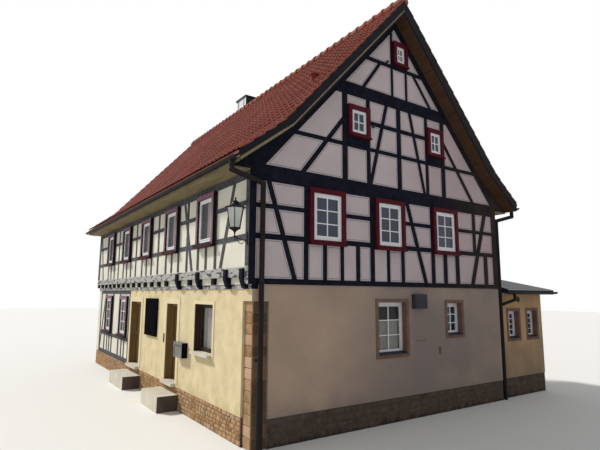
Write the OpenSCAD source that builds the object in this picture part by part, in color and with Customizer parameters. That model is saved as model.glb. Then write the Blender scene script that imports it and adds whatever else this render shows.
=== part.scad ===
// Half timbered house on a street corner: a rendered ground floor, a jettied
// timber storey, a steep tiled roof with kicked eaves, and a low side annex.
// Millimetres, Z up. X runs along the gable front, Y along the street side.
// The origin is the middle of the ground floor's underside.

/* [House] */
// Width of the gable front
house_w = 8500; // [8300:50:8900]
// Length of the street side
house_l = 14300; // [14200:50:15000]
// Height of the rubble plinth above the lowest ground
plinth_h = 570; // [500:10:640]
// How far the plinth stands back from the render
plinth_inset = 12; // [5:1:25]
// Height of the ground floor above the lowest ground
floor_top = 650; // [640:5:700]
// Height of the ground floor walls above the doorways
lintel_h = 490; // [440:10:560]
// Thickness of the ground floor walls
wall_t = 400; // [360:10:450]
// Height of the timber storey, from the wall top to the top plate
storey_h = 2400; // [2350:10:2500]

/* [Timber] */
// Thickness of the timber frames
frame_t = 160; // [140:5:180]
// How far the timber storey stands out over the street
jetty = 120; // [80:5:160]
// How far the gable front stands out over its wall
gable_jetty = 30; // [15:5:60]
// Thickness of the infill panels
infill_t = 120; // [90:5:125]
// How far the panels lie behind the timber face
infill_back = 14; // [8:1:25]
// Thickness of the floors
floor_t = 150; // [120:5:180]
// Height of the joists' bearing plate on the street side
plate_h = 100; // [80:5:120]
// Height of the street side's sill beam
sill_beam_h = 200; // [160:10:220]
// Width of a joist end
joist_w = 150; // [120:5:180]
// Distance between the joists
joist_pitch = 700; // [650:10:760]

/* [Roof] */
// Rise of the main slopes for each unit of run
roof_slope = 1.12; // [1.08:0.01:1.16]
// Rise of the kicked eaves for each unit of run
kick_slope = 0.77; // [0.7:0.01:0.85]
// Distance of the kick from the gable's edge
kick_x = 440; // [380:10:500]
// How far the eaves reach out from the gable's edge
eaves_reach = 560; // [500:10:620]
// How far the roof reaches out over the gables
verge_reach = 400; // [340:10:460]
// Upright thickness of the tile layer
tile_h = 90; // [80:5:110]
// Upright thickness of the rafters and boards
deck_h = 310; // [280:5:340]
// Thickness of the eaves' soffit boards
soffit_t = 30; // [20:2:40]
// Thickness of the barge boards
verge_board_t = 30; // [20:2:40]
// Radius of the ridge tiles
ridge_r = 130; // [110:5:150]
// Outer radius of the gutters
gutter_r = 75; // [65:5:85]
// Sheet thickness of the gutters
gutter_t = 6; // [4:1:10]
// Outer radius of the downpipes
pipe_r = 55; // [45:5:60]

/* [Windows] */
// Width of the windows of the timber storey
window_w = 1040; // [980:10:1080]
// Height of the windows of the timber storey
window_h = 1300; // [1240:10:1320]
// Height of their lower edge above the wall top
window_rise = 900; // [880:10:950]
// Width of the painted casing boards
casing_w = 110; // [90:5:125]
// How far the casings stand out in the gable
casing_proud = 70; // [50:5:90]
// Width of the white sash frames
sash_w = 75; // [60:5:90]
// Depth of the sash frames
sash_t = 60; // [50:5:70]
// Thickness of a pane
pane_t = 20; // [12:2:24]
// Distance between the windows of the street side
street_window_pitch = 2430; // [2380:10:2460]
// Middle of the first street window
street_window_y = 2130; // [2080:10:2180]
// Width of the stone around the ground floor windows
stone_w = 90; // [70:5:110]
// How far the panes of the ground floor lie back in the wall
reveal = 150; // [120:5:180]

/* [Doors] */
// Width of the near doorway
near_door_w = 880; // [850:10:950]
// Width of the far doorway
far_door_w = 1200; // [1100:10:1250]
// Height of the doorways above their thresholds
door_h = 2110; // [2050:10:2160]
// Thickness of a door leaf
leaf_t = 60; // [50:2:66]
// Gap around a door leaf
leaf_gap = 10; // [9:1:12]
// Width of the door frames
door_frame_w = 70; // [60:5:80]
// How far the leaves lie back in the wall
door_reveal = 200; // [180:5:220]
// Radius of the hinge knuckles
knuckle_r = 15; // [13:1:18]
// Radius of the hinge pins
pin_r = 8; // [6:1:9]
// Running clearance of the hinges
hinge_gap = 0.3; // [0.3:0.1:0.5]
// Height of a hinge knuckle
knuckle_h = 60; // [50:5:70]

/* [Annex] */
// How far the annex reaches out from the house
annex_w = 2530; // [2450:10:2600]
// Depth of the annex
annex_d = 3500; // [3300:50:3800]
// How far its front stands back from the gable front
annex_back = 100; // [80:10:140]
// Top of the annex walls
annex_top = 3180; // [3120:10:3200]
// Thickness of the annex walls
annex_wall_t = 300; // [260:10:320]
// Rise of the annex roof for each unit of run
annex_slope = 0.3; // [0.26:0.01:0.34]
// How far the annex roof reaches out
annex_eaves = 300; // [260:10:340]
// Upright thickness of the annex roof
annex_roof_t = 150; // [120:10:180]

/* [Details] */
// Width of the corner pillar
pillar_w = 400; // [380:10:450]
// How deep the pillar stands behind the render
pillar_back = 60; // [40:5:80]
// Top of the pillar
pillar_top = 2900; // [2800:20:3000]
// Width of the chimney across the ridge
chimney_w = 600; // [520:10:680]
// Length of the chimney along the ridge
chimney_l = 860; // [780:10:940]
// Height of the chimney above the ridge
chimney_rise = 590; // [500:10:700]
// Radius of the lantern's shoulder
lantern_r = 190; // [170:5:200]
// Height of the lantern's glazed body
lantern_h = 420; // [380:10:460]

/* [Hidden] */
$fn = 48;
// Overlap of a cutting shape past the face that it cuts
cut = 20;

// Levels
wall_top = floor_top + door_h + lintel_h;
plate_top = wall_top + storey_h;
attic_base = plate_top + floor_t;
ridge_x = house_w / 2;
apex_under = attic_base + roof_slope * ridge_x;
ridge_top = apex_under + deck_h + tile_h;
kick_z = ridge_top - roof_slope * (ridge_x - kick_x);
eaves_z = kick_z - kick_slope * (kick_x + eaves_reach);
foot_x = (plate_top - attic_base) / roof_slope;
collar_z = attic_base + 2180;
collar_h = 340;

// Wall faces
front_face = -gable_jetty;
rear_face = house_l + gable_jetty;
street_face = -jetty;
inner_y0 = front_face + frame_t;
inner_y1 = rear_face - frame_t;

// Timber widths
post_w = 140;
stud_w = 110;
rail_h = 110;
top_plate_h = 170;
rafter_w = 240;

// Storey windows
window_z = wall_top + window_rise;
front_window_x = [1900, 3905, 6060];
street_window_count = 5;
street_window_ys = [for (i = [0:street_window_count - 1]) street_window_y + i * street_window_pitch];
street_casing_proud = 90;
sash_back = 50;

// Gable windows: middle, lower edge above the attic, width and height
attic_windows = [[2895, 1100, 710, 820], [5755, 1090, 670, 820], [4430, 3410, 540, 700]];

// Ground floor windows: middle, lower edge, width and height of the stone frame
front_stone_windows = [[3975, 1520, 1150, 1430], [6380, 1890, 800, 1030]];
rear_stone_windows = [[2600, 1520, 1150, 1430], [6100, 1520, 1150, 1430]];
east_stone_windows = [[6200, 1520, 1150, 1430], [9000, 1520, 1150, 1430], [11800, 1520, 1150, 1430]];
annex_stone_windows = [[house_w + 890, 1650, 740, 1010], [house_w + 1940, 1650, 720, 1010]];
stone_proud = 15;
stone_depth = 260;

// The plain window beside the near door, and the windows of the framed far part
plain_window = [2430, 1570, 1100, 1220];
plain_frame_w = 70;
framed_y = 9110;
framed_l = house_l - wall_t - framed_y;
// A place along the framed part, as a share of its length, in whole millimetres
function framed_at(share) = framed_y + round(share * framed_l);
far_window_w = 2 * round(0.1107 * framed_l);
far_windows = [for (share = [0.1712, 0.6576]) [framed_at(share), 1450, far_window_w, 1490]];

// Doorways
near_door_y = 4220;
far_door_y = 7700;
leaf_h = door_h - door_frame_w - leaf_gap * 2;
hinge_x = door_reveal + leaf_t + knuckle_r + 2;
hinge_y = door_frame_w - 4;
hinge_rises = [240, leaf_h / 2 - knuckle_h, leaf_h - 240];
surround_w = 170;
surround_t = 15;

// Street joists
console_ys = [inner_y0, 900, 2500, 3950];
lone_joist_ys = [1720, 3230];
joist_y0 = 5050;
joist_count = floor((inner_y1 - joist_w / 2 - joist_y0) / joist_pitch) + 1;

// Chimney
chimney_x = ridge_x + 50;
chimney_y = 8810;

// Annex
annex_x = house_w;
annex_x1 = house_w + annex_w;
annex_y1 = annex_back + annex_d;

// Moves from the near corner to the middle of the house
module placed() {
    translate([-house_w / 2, -house_l / 2, 0]) children();
}

// An outline in X and Z, drawn from y over a length l
module across(y, l) {
    translate([0, y + l, 0]) rotate([90, 0, 0]) linear_extrude(l) children();
}

// An outline in Y and Z, drawn from x over a thickness t
module along(x, t) {
    translate([x, 0, 0]) rotate([90, 0, 90]) linear_extrude(t) children();
}

// What stands east of the ridge as its street twin stands west of it
module east_side() {
    translate([2 * ridge_x, 0, 0]) mirror([1, 0, 0]) children();
}

module bar(u0, u1, v0, v1) {
    translate([u0, v0]) square([u1 - u0, v1 - v0]);
}

// A sloping timber between two points on its middle line
module brace(a, b, w) {
    d = (b - a) / norm(b - a);
    n = [-d[1], d[0]] * w / 2;
    polygon([a - n, b - n, b + n, a + n]);
}

// A window opening: middle, lower edge, width and height
module hole(win) {
    translate([win[0] - win[2] / 2, win[1]]) square([win[2], win[3]]);
}

// A four-sided frame of bars, w wide and h high outside, from depth y0 to y1
module ring(w, h, bar_w, y0, y1) {
    translate([-w / 2, y1, 0]) rotate([90, 0, 0]) linear_extrude(y1 - y0)
        difference() {
            square([w, h]);
            translate([bar_w, bar_w]) square([w - 2 * bar_w, h - 2 * bar_w]);
        }
}

// Places on the four sides, with local X to the right, Y into the wall and Z up
module on_front(x, z, face) {
    translate([x, face, z]) children();
}

module on_rear(x, z, face) {
    translate([x, face, z]) rotate([0, 0, 180]) children();
}

module on_street(y, z, face) {
    translate([face, y, z]) rotate([0, 0, -90]) children();
}

module on_east(y, z, face) {
    translate([face, y, z]) rotate([0, 0, 90]) children();
}

function storey_window(u) = [u, window_z, window_w, window_h];
function attic_window(a) = [a[0], attic_base + a[1], a[2], a[3]];

// Masonry
module ground_floor() {
    color("darkgray") placed()
        translate([wall_t, wall_t, 0])
            cube([house_w - 2 * wall_t, house_l - 2 * wall_t, floor_top]);
}

module plinth_long_walls() {
    color("rosybrown") placed() {
        translate([plinth_inset, pillar_w, 0])
            cube([wall_t - plinth_inset, house_l - pillar_w - plinth_inset, plinth_h]);
        translate([house_w - wall_t, plinth_inset, 0])
            cube([wall_t, house_l - 2 * plinth_inset, plinth_h]);
    }
}

module plinth_end_walls() {
    color("rosybrown") placed() {
        translate([pillar_w, plinth_inset, 0])
            cube([house_w - wall_t - pillar_w, wall_t - plinth_inset, plinth_h]);
        translate([wall_t, house_l - wall_t, 0])
            cube([house_w - 2 * wall_t, wall_t - plinth_inset, plinth_h]);
    }
}

module corner_pillar() {
    color("indianred") placed()
        translate([pillar_back, pillar_back, 0])
            cube([pillar_w - pillar_back, pillar_w - pillar_back, pillar_top]);
}

// The rebate for the bearing plate along the street walls' outer top edge
module plate_rebate() {
    translate([-cut, -cut, wall_top - plate_h])
        cube([cut + frame_t - jetty + wall_t / 4, house_l + 2 * cut, plate_h + cut]);
}

module front_wall() {
    color("tan") placed() difference() {
        across(0, wall_t) difference() {
            bar(0, house_w, plinth_h, wall_top);
            bar(-cut, pillar_w, plinth_h - cut, pillar_top);
            for (win = front_stone_windows) hole(win);
        }
        plate_rebate();
    }
}

module rear_wall() {
    color("tan") placed() difference() {
        across(house_l - wall_t, wall_t) difference() {
            bar(0, house_w, plinth_h, wall_top);
            for (win = rear_stone_windows) hole(win);
        }
        plate_rebate();
    }
}

module east_wall() {
    color("tan") placed()
        along(house_w - wall_t, wall_t) difference() {
            bar(wall_t, house_l - wall_t, plinth_h, wall_top);
            for (win = east_stone_windows) hole(win);
        }
}

module street_walls() {
    color("wheat") placed() difference() {
        along(0, wall_t) difference() {
            bar(wall_t, framed_y, plinth_h, wall_top);
            bar(near_door_y, near_door_y + near_door_w, plinth_h - cut, wall_top + cut);
            bar(far_door_y, far_door_y + far_door_w, plinth_h - cut, wall_top + cut);
            hole(plain_window);
        }
        plate_rebate();
    }
}

module street_lintels() {
    color("wheat") placed() difference() {
        along(0, wall_t) {
            bar(near_door_y, near_door_y + near_door_w, floor_top + door_h, wall_top);
            bar(far_door_y, far_door_y + far_door_w, floor_top + door_h, wall_top);
        }
        plate_rebate();
    }
}

// Stone and plaster dressings
module stone_ring(win) {
    ring(win[2], win[3], stone_w, -stone_proud, stone_depth);
}

module stone_window_frames() {
    color("brown") placed() {
        for (win = front_stone_windows) on_front(win[0], win[1], 0) stone_ring(win);
        for (win = rear_stone_windows) on_rear(win[0], win[1], house_l) stone_ring(win);
        for (win = east_stone_windows) on_east(win[0], win[1], house_w) stone_ring(win);
        for (win = annex_stone_windows) on_front(win[0], win[1], annex_back) stone_ring(win);
    }
}

module stone_sills() {
    sill_reach = 120;
    color("lightgray") placed() {
        for (door = [[near_door_y, near_door_w], [far_door_y, far_door_w]])
            translate([-sill_reach, door[0], plinth_h])
                cube([wall_t + sill_reach, door[1], floor_top - plinth_h]);
        translate([-sill_reach, plain_window[0] - plain_window[2] / 2, plain_window[1]])
            cube([sill_reach + reveal, plain_window[2], 60]);
    }
}

module door_steps() {
    step_reach = 550;
    step_top = 400;
    side = 250;
    color("gainsboro") placed()
        for (door = [[near_door_y, near_door_w], [far_door_y, far_door_w]])
            translate([-step_reach, door[0] - side, 0])
                cube([step_reach + plinth_inset, door[1] + 2 * side, step_top]);
}

module plaster_surrounds() {
    color("cornsilk") placed() along(-surround_t, surround_t) {
        for (door = [[near_door_y, near_door_w], [far_door_y, far_door_w]])
            difference() {
                bar(door[0] - surround_w, door[0] + door[1] + surround_w,
                    floor_top, floor_top + door_h + surround_w);
                bar(door[0], door[0] + door[1], floor_top - cut, floor_top + door_h);
            }
        difference() {
            bar(plain_window[0] - plain_window[2] / 2 - surround_w / 2,
                plain_window[0] + plain_window[2] / 2 + surround_w / 2,
                plain_window[1], plain_window[1] + plain_window[3] + surround_w / 2);
            hole(plain_window);
        }
    }
}

// Doors, drawn with the doorway's near edge at y 0 and its threshold at z 0
module frame_knuckle(rise) {
    translate([hinge_x, hinge_y, rise]) {
        cylinder(r = knuckle_r, h = knuckle_h);
        cylinder(r = pin_r, h = 2 * knuckle_h);
    }
    translate([door_reveal + leaf_t - 1, hinge_y - 40, rise])
        cube([hinge_x - door_reveal - leaf_t + 1, 40, knuckle_h]);
}

module door_frame(w) {
    stop_t = 40;
    stop_w = door_frame_w + 20;
    along(door_reveal - leaf_gap, leaf_t + leaf_gap) difference() {
        bar(0, w, 0, door_h);
        bar(door_frame_w, w - door_frame_w, -cut, door_h - door_frame_w);
    }
    along(door_reveal - leaf_gap - stop_t, stop_t) difference() {
        bar(0, w, 0, door_h);
        bar(stop_w, w - stop_w, -cut, door_h - stop_w);
    }
    for (rise = hinge_rises) frame_knuckle(rise);
}

module door_frames() {
    color("peru") placed() {
        translate([0, near_door_y, floor_top]) door_frame(near_door_w);
        translate([0, far_door_y, floor_top]) door_frame(far_door_w);
    }
}

module leaf_knuckle(rise) {
    difference() {
        union() {
            translate([hinge_x, hinge_y, rise + knuckle_h + hinge_gap])
                cylinder(r = knuckle_r, h = knuckle_h);
            translate([door_reveal + leaf_t - 1, hinge_y + 6, rise + knuckle_h + hinge_gap])
                cube([hinge_x - door_reveal - leaf_t + 1, 60, knuckle_h]);
        }
        translate([hinge_x, hinge_y, rise])
            cylinder(r = pin_r + hinge_gap, h = 3 * knuckle_h);
    }
}

module door_leaf(w) {
    leaf_w = w - 2 * door_frame_w - 2 * leaf_gap;
    translate([door_reveal, door_frame_w + leaf_gap, leaf_gap]) cube([leaf_t, leaf_w, leaf_h]);
    for (rise = hinge_rises) leaf_knuckle(rise);
}

module near_door_leaf() {
    color("saddlebrown") placed() translate([0, near_door_y, floor_top]) door_leaf(near_door_w);
}

module far_door_leaf() {
    color("saddlebrown") placed() translate([0, far_door_y, floor_top]) door_leaf(far_door_w);
}

// A lever on each face, at the leaf's free edge
module door_handles(w) {
    handle_z = 1050;
    edge = 75;
    plate_w = 44;
    y = w - door_frame_w - leaf_gap - edge;
    for (side = [0, 1])
        translate([door_reveal + side * leaf_t, y, handle_z]) mirror([1 - side, 0, 0]) {
            translate([0, -plate_w / 2, -110]) cube([6, plate_w, 220]);
            rotate([0, 90, 0]) cylinder(r = 9, h = 50);
            translate([50 - 9, 9, 0]) rotate([90, 0, 0]) cylinder(r = 9, h = 125);
        }
}

module near_door_handles() {
    color("silver") placed() translate([0, near_door_y, floor_top]) door_handles(near_door_w);
}

module far_door_handles() {
    color("silver") placed() translate([0, far_door_y, floor_top]) door_handles(far_door_w);
}

// Street side timber
module street_ground_bars() {
    bar(framed_y, house_l - wall_t, plinth_h, plinth_h + 150);
    bar(framed_y, house_l - wall_t, wall_top - plate_h - 130, wall_top - plate_h);
    bar(framed_y, house_l - wall_t, 1320, 1450);
    for (y = [framed_y, framed_at(0.2985), framed_at(0.5198), framed_at(0.785), house_l - wall_t - post_w])
        bar(y, y + post_w, plinth_h, wall_top - plate_h);
    for (win = far_windows, side = [-1, 1])
        bar(win[0] + side * 190 - stud_w / 2, win[0] + side * 190 + stud_w / 2, plinth_h, 1450);
    brace([framed_at(0.9687), plinth_h + 130], [framed_at(0.8288), wall_top - plate_h - 200], stud_w);
}

module street_ground_frame() {
    color("gray") placed() along(0, frame_t) difference() {
        street_ground_bars();
        for (win = far_windows) hole(win);
    }
}

module street_plate() {
    color("silver") placed()
        translate([-20, 0, wall_top - plate_h])
            cube([20 + frame_t - jetty + wall_t / 4, house_l, plate_h]);
}

module joist_at(y) {
    translate([street_face, y - joist_w / 2, wall_top])
        cube([frame_t, joist_w, floor_t]);
}

module joist_ends() {
    color("dimgray") placed() {
        for (y = lone_joist_ys) joist_at(y);
        for (i = [0:joist_count - 1]) joist_at(joist_y0 + i * joist_pitch);
    }
}

// A carved console: a joist end with a knee below it and a horn before the sill
module knee_console(y) {
    reach = 160;
    knee_drop = 100;
    horn = 170;
    translate([0, y + joist_w / 2, 0]) rotate([90, 0, 0]) linear_extrude(joist_w)
        polygon([
            [street_face + frame_t, wall_top],
            [-20, wall_top],
            [-20, wall_top - knee_drop],
            [-60, wall_top - knee_drop],
            [-reach * 0.75, wall_top - knee_drop * 0.4],
            [street_face - reach * 0.25, wall_top + floor_t * 0.5],
            [street_face - reach * 0.35, wall_top + floor_t],
            [street_face - reach * 0.3, wall_top + floor_t + horn],
            [street_face, wall_top + floor_t + horn],
            [street_face, wall_top + floor_t],
            [street_face + frame_t, wall_top + floor_t]
        ]);
}

module knee_consoles() {
    color("black") placed() for (y = console_ys) knee_console(y + joist_w / 2);
}

// Timbers of a long side, in Y and Z, for windows at the given middles
module long_side_bars(y0, y1, foot) {
    rail_z = wall_top + window_rise + 80;
    upper_rail_z = wall_top + 1700;
    bar(y0, y1, foot, foot + sill_beam_h);
    bar(y0, y1, plate_top - 200, plate_top);
    bar(y0, y1, rail_z - 60, rail_z + 60);
    bar(y0, y1, upper_rail_z - 50, upper_rail_z + 50);
    bar(y1 - post_w, y1, foot, plate_top);
    for (y = street_window_ys) {
        bar(y - 560, y - 560 + 120, foot, plate_top);
        bar(y + 480, y + 600, foot, plate_top);
        bar(y - 15, y + 95, foot, rail_z);
    }
    for (i = [1:street_window_count - 1])
        bar(street_window_ys[i] - 1190, street_window_ys[i] - 1070, foot, plate_top);
    brace([1370, foot + 100], [650, plate_top - 60], 120);
    brace([3020, foot + 100], [3740, plate_top - 60], 120);
    brace([y1 - 900, foot + 100], [y1 - 200, plate_top - 60], 120);
}

module street_frame() {
    foot = wall_top + floor_t;
    color("darkslategray") placed() along(street_face, frame_t) difference() {
        long_side_bars(inner_y0, inner_y1, foot);
        for (y = street_window_ys) hole(storey_window(y));
    }
}

module east_frame() {
    color("darkslategray") placed() along(house_w - frame_t, frame_t) difference() {
        long_side_bars(inner_y0, inner_y1, wall_top);
        for (y = street_window_ys) hole(storey_window(y));
    }
}

// Outlines of a gable end's two frames, in X and Z
module storey_outline() {
    polygon([
        [street_face, wall_top], [house_w, wall_top], [house_w, plate_top - 40],
        [street_face, plate_top - 40]
    ]);
}

module gable_outline() {
    polygon([
        [street_face, plate_top - 40], [house_w, plate_top - 40], [house_w, attic_base],
        [ridge_x, apex_under], [0, attic_base], [street_face, attic_base - jetty * roof_slope]
    ]);
}

module storey_bars() {
    beam_z = plate_top - 40 - top_plate_h;
    rail_z = wall_top + 940;
    upper_rail_z = wall_top + 1600;
    bar(street_face, house_w, wall_top, wall_top + 120);
    bar(street_face, house_w, beam_z, plate_top - 40);
    bar(street_face, house_w, rail_z, rail_z + 120);
    bar(street_face, house_w, upper_rail_z, upper_rail_z + 100);
    bar(street_face, street_face + frame_t, wall_top, plate_top);
    bar(house_w - 230, house_w, wall_top, plate_top);
    for (post = [[1260, 1380], [2300, 2400], [3240, 3380], [4310, 4425], [5470, 5610], [6490, 6650]])
        bar(post[0], post[1], wall_top, plate_top - 40);
    for (stud = [[1790, 1900], [2780, 2900], [3800, 3900], [5970, 6120], [7810, 7980]])
        bar(stud[0], stud[1], wall_top, rail_z + 60);
    bar(7330, 7470, rail_z + 60, beam_z + 60);
    brace([325, beam_z + 40], [1030, wall_top + 80], 115);
    brace([4560, beam_z + 40], [5240, wall_top + 80], 125);
    brace([7950, beam_z + 40], [7225, wall_top + 80], 150);
}

module gable_bars() {
    rail_z = attic_base + 830;
    upper_rail_z = attic_base + 1530;
    loft_rail_z = attic_base + 3300;
    bar(street_face, house_w, plate_top - 40, attic_base);
    bar(0, house_w, rail_z, rail_z + 100);
    bar(3250, 5420, upper_rail_z, upper_rail_z + rail_h);
    bar(0, house_w, collar_z, collar_z + collar_h);
    bar(0, house_w, loft_rail_z, loft_rail_z + rail_h);
    for (post = [[2380, 2540], [4250, 4400], [6020, 6180], [3170, 3290], [5360, 5470]])
        bar(post[0], post[1], attic_base - 20, collar_z + 20);
    bar(2540, 3170, attic_base + 950, attic_base + 1100);
    bar(5420, 6020, attic_base + 950, attic_base + 1090);
    bar(4080, 4160, collar_z, apex_under);
    bar(4620, 4700, collar_z, apex_under);
    brace([3890, collar_z + 30], [3280, attic_base - 50], 105);
    brace([4750, collar_z + 30], [5295, attic_base - 50], 100);
    brace([2420, attic_base + 1515], [1195, attic_base - 50], 110);
    brace([6140, attic_base + 1590], [7420, attic_base - 50], 110);
    brace([3690, loft_rail_z + 30], [3050, collar_z + 280], 90);
    brace([4950, loft_rail_z + 30], [5660, collar_z + 280], 90);
    brace([-60, attic_base - 60 * roof_slope - 100], [ridge_x, apex_under - 100], rafter_w);
    brace([house_w + 60, attic_base - 60 * roof_slope - 100], [ridge_x, apex_under - 100], rafter_w);
}

module storey_holes() {
    for (x = front_window_x) hole(storey_window(x));
}

module gable_holes() {
    for (a = attic_windows) hole(attic_window(a));
}

module storey_frame_outline() {
    difference() {
        intersection() {
            storey_outline();
            storey_bars();
        }
        storey_holes();
    }
}

module gable_frame_outline() {
    difference() {
        intersection() {
            gable_outline();
            gable_bars();
        }
        gable_holes();
    }
}

module front_frame() {
    color("midnightblue") placed() across(front_face, frame_t) storey_frame_outline();
}

module rear_frame() {
    color("midnightblue") placed() across(inner_y1, frame_t) storey_frame_outline();
}

module front_gable_frame() {
    color("midnightblue") placed() across(front_face, frame_t) gable_frame_outline();
}

module rear_gable_frame() {
    color("midnightblue") placed() across(inner_y1, frame_t) gable_frame_outline();
}

// Infill panels: what the timbers and windows leave of each side
module end_infill_outline() {
    difference() {
        storey_outline();
        storey_bars();
        storey_holes();
    }
    difference() {
        gable_outline();
        gable_bars();
        gable_holes();
    }
}

module front_infill() {
    color("linen") placed() across(front_face + infill_back, infill_t) end_infill_outline();
}

module rear_infill() {
    color("linen") placed() across(rear_face - infill_back - infill_t, infill_t) end_infill_outline();
}

module street_infill() {
    foot = wall_top + floor_t;
    gap_t = 80;
    color("ivory") placed() {
        along(street_face + infill_back, infill_t) difference() {
            bar(inner_y0, inner_y1, foot, plate_top);
            long_side_bars(inner_y0, inner_y1, foot);
            for (y = street_window_ys) hole(storey_window(y));
        }
        along(infill_back, infill_t) difference() {
            bar(framed_y, house_l - wall_t, plinth_h, wall_top - plate_h);
            street_ground_bars();
            for (win = far_windows) hole(win);
        }
        along(frame_t - jetty - gap_t, gap_t) difference() {
            bar(inner_y0, inner_y1, wall_top, foot);
            for (y = console_ys) bar(y, y + joist_w, wall_top - cut, foot + cut);
            for (y = lone_joist_ys)
                bar(y - joist_w / 2, y + joist_w / 2, wall_top - cut, foot + cut);
            for (i = [0:joist_count - 1])
                bar(joist_y0 + i * joist_pitch - joist_w / 2,
                    joist_y0 + i * joist_pitch + joist_w / 2, wall_top - cut, foot + cut);
        }
    }
}

module east_infill() {
    color("ivory") placed() along(house_w - infill_back - infill_t, infill_t) difference() {
        bar(inner_y0, inner_y1, wall_top, plate_top);
        long_side_bars(inner_y0, inner_y1, wall_top);
        for (y = street_window_ys) hole(storey_window(y));
    }
}

// Floors
module chimney_shaft(z0, z1) {
    translate([chimney_x, chimney_y, z0]) cube([chimney_w, chimney_l, z1 - z0]);
}

module upper_floor() {
    color("burlywood") placed() difference() {
        translate([frame_t - jetty, inner_y0, wall_top])
            cube([house_w - 2 * frame_t + jetty, inner_y1 - inner_y0, floor_t]);
        chimney_shaft(0, ridge_top);
    }
}

module attic_floor() {
    color("burlywood") placed() difference() {
        across(inner_y0, inner_y1 - inner_y0) polygon([
            [street_face, plate_top], [house_w, plate_top], [house_w, attic_base],
            [0, attic_base], [street_face, attic_base - jetty * roof_slope]
        ]);
        chimney_shaft(0, ridge_top);
    }
}

module loft_floor() {
    low_run = (apex_under - collar_z) / roof_slope;
    high_run = (apex_under - collar_z - floor_t) / roof_slope;
    color("burlywood") placed() difference() {
        across(inner_y0, inner_y1 - inner_y0) polygon([
            [ridge_x - low_run, collar_z], [ridge_x + low_run, collar_z],
            [ridge_x + high_run, collar_z + floor_t], [ridge_x - high_run, collar_z + floor_t]
        ]);
        chimney_shaft(0, ridge_top);
    }
}

// Roof, drawn for the street slope
module deck_outline() {
    polygon([
        [ridge_x, ridge_top - tile_h], [kick_x, kick_z - tile_h],
        [-eaves_reach, eaves_z - tile_h], [-eaves_reach, plate_top],
        [foot_x, plate_top], [ridge_x, apex_under]
    ]);
}

// At the verge the kick's rafters show from below, with no box under them
kick_deck_h = 180;
kick_under = eaves_z - tile_h - kick_deck_h;
kick_end_x = (kick_under + kick_slope * eaves_reach - attic_base) / (roof_slope - kick_slope);

module verge_outline() {
    polygon([
        [ridge_x, ridge_top - tile_h], [kick_x, kick_z - tile_h],
        [-eaves_reach, eaves_z - tile_h], [-eaves_reach, kick_under],
        [kick_end_x, attic_base + roof_slope * kick_end_x], [ridge_x, apex_under]
    ]);
}

module tile_outline() {
    lip = 30;
    polygon([
        [ridge_x, ridge_top], [kick_x, kick_z],
        [-eaves_reach - lip, eaves_z - lip * kick_slope],
        [-eaves_reach - lip, eaves_z - lip * kick_slope - tile_h],
        [kick_x, kick_z - tile_h], [ridge_x, ridge_top - tile_h]
    ]);
}

module slope_deck() {
    across(front_face, rear_face - front_face) deck_outline();
    across(-verge_reach, verge_reach + front_face) verge_outline();
    across(rear_face, verge_reach + house_l - rear_face) verge_outline();
}

module slope_tiles() {
    across(-verge_reach - verge_board_t, house_l + 2 * (verge_reach + verge_board_t)) tile_outline();
}

module street_roof_deck() {
    color("sienna") placed() slope_deck();
}

module east_roof_deck() {
    color("sienna") placed() difference() {
        east_side() slope_deck();
        chimney_shaft(0, ridge_top);
    }
}

module street_tiles() {
    color("firebrick") placed() slope_tiles();
}

module east_tiles() {
    color("firebrick") placed() difference() {
        east_side() slope_tiles();
        chimney_shaft(0, ridge_top + cut);
    }
}

module ridge_tiles() {
    color("brown") placed() difference() {
        across(-verge_reach - verge_board_t, house_l + 2 * (verge_reach + verge_board_t))
            difference() {
                translate([ridge_x, ridge_top - 40]) circle(r = ridge_r);
                polygon([
                    [ridge_x, ridge_top], [ridge_x + 2 * ridge_r, ridge_top - 2 * ridge_r * roof_slope],
                    [ridge_x, ridge_top - 4 * ridge_r],
                    [ridge_x - 2 * ridge_r, ridge_top - 2 * ridge_r * roof_slope]
                ]);
            }
        chimney_shaft(0, ridge_top + 2 * ridge_r);
    }
}

module verge_boards() {
    color("black") placed()
        for (y = [-verge_reach - verge_board_t, house_l + verge_reach])
            across(y, verge_board_t) {
                verge_outline();
                translate([2 * ridge_x, 0]) mirror([1, 0]) verge_outline();
            }
}

module eaves_soffits() {
    color("goldenrod") placed() {
        translate([-eaves_reach, front_face, plate_top - soffit_t])
            cube([eaves_reach - jetty, rear_face - front_face, soffit_t]);
        translate([house_w, front_face, plate_top - soffit_t])
            cube([eaves_reach, rear_face - front_face, soffit_t]);
    }
}

// A half round trough with its back edge carried up against the eaves
module gutter_outline() {
    back = 40;
    difference() {
        circle(r = gutter_r);
        circle(r = gutter_r - gutter_t);
        translate([-2 * gutter_r, 0]) square([4 * gutter_r, 2 * gutter_r]);
    }
    translate([gutter_r - gutter_t, 0]) square([gutter_t, back]);
}

gutter_z = eaves_z - tile_h - 60;
annex_gutter_z = annex_top - annex_slope * annex_eaves + annex_roof_t - 60;

module gutters() {
    color("saddlebrown") placed() {
        across(-verge_reach - verge_board_t, house_l + 2 * (verge_reach + verge_board_t))
            translate([-eaves_reach - gutter_r, gutter_z]) gutter_outline();
        across(-verge_reach - verge_board_t, house_l + 2 * (verge_reach + verge_board_t))
            translate([2 * ridge_x + eaves_reach + gutter_r, gutter_z]) mirror([1, 0]) gutter_outline();
        translate([0, annex_back - annex_eaves - gutter_r, annex_gutter_z])
            along(annex_x + 200, annex_w + annex_eaves - 200) gutter_outline();
    }
}

// A pipe through a list of points, with a socket ball at each bend
module pipe(points, r) {
    bend_lip = 4;
    for (i = [0:len(points) - 2]) {
        d = points[i + 1] - points[i];
        translate(points[i]) rotate([0, acos(d[2] / norm(d)), atan2(d[1], d[0])])
            cylinder(r = r, h = norm(d));
    }
    for (i = [1:len(points) - 2]) translate(points[i]) sphere(r = r + bend_lip);
}

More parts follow.
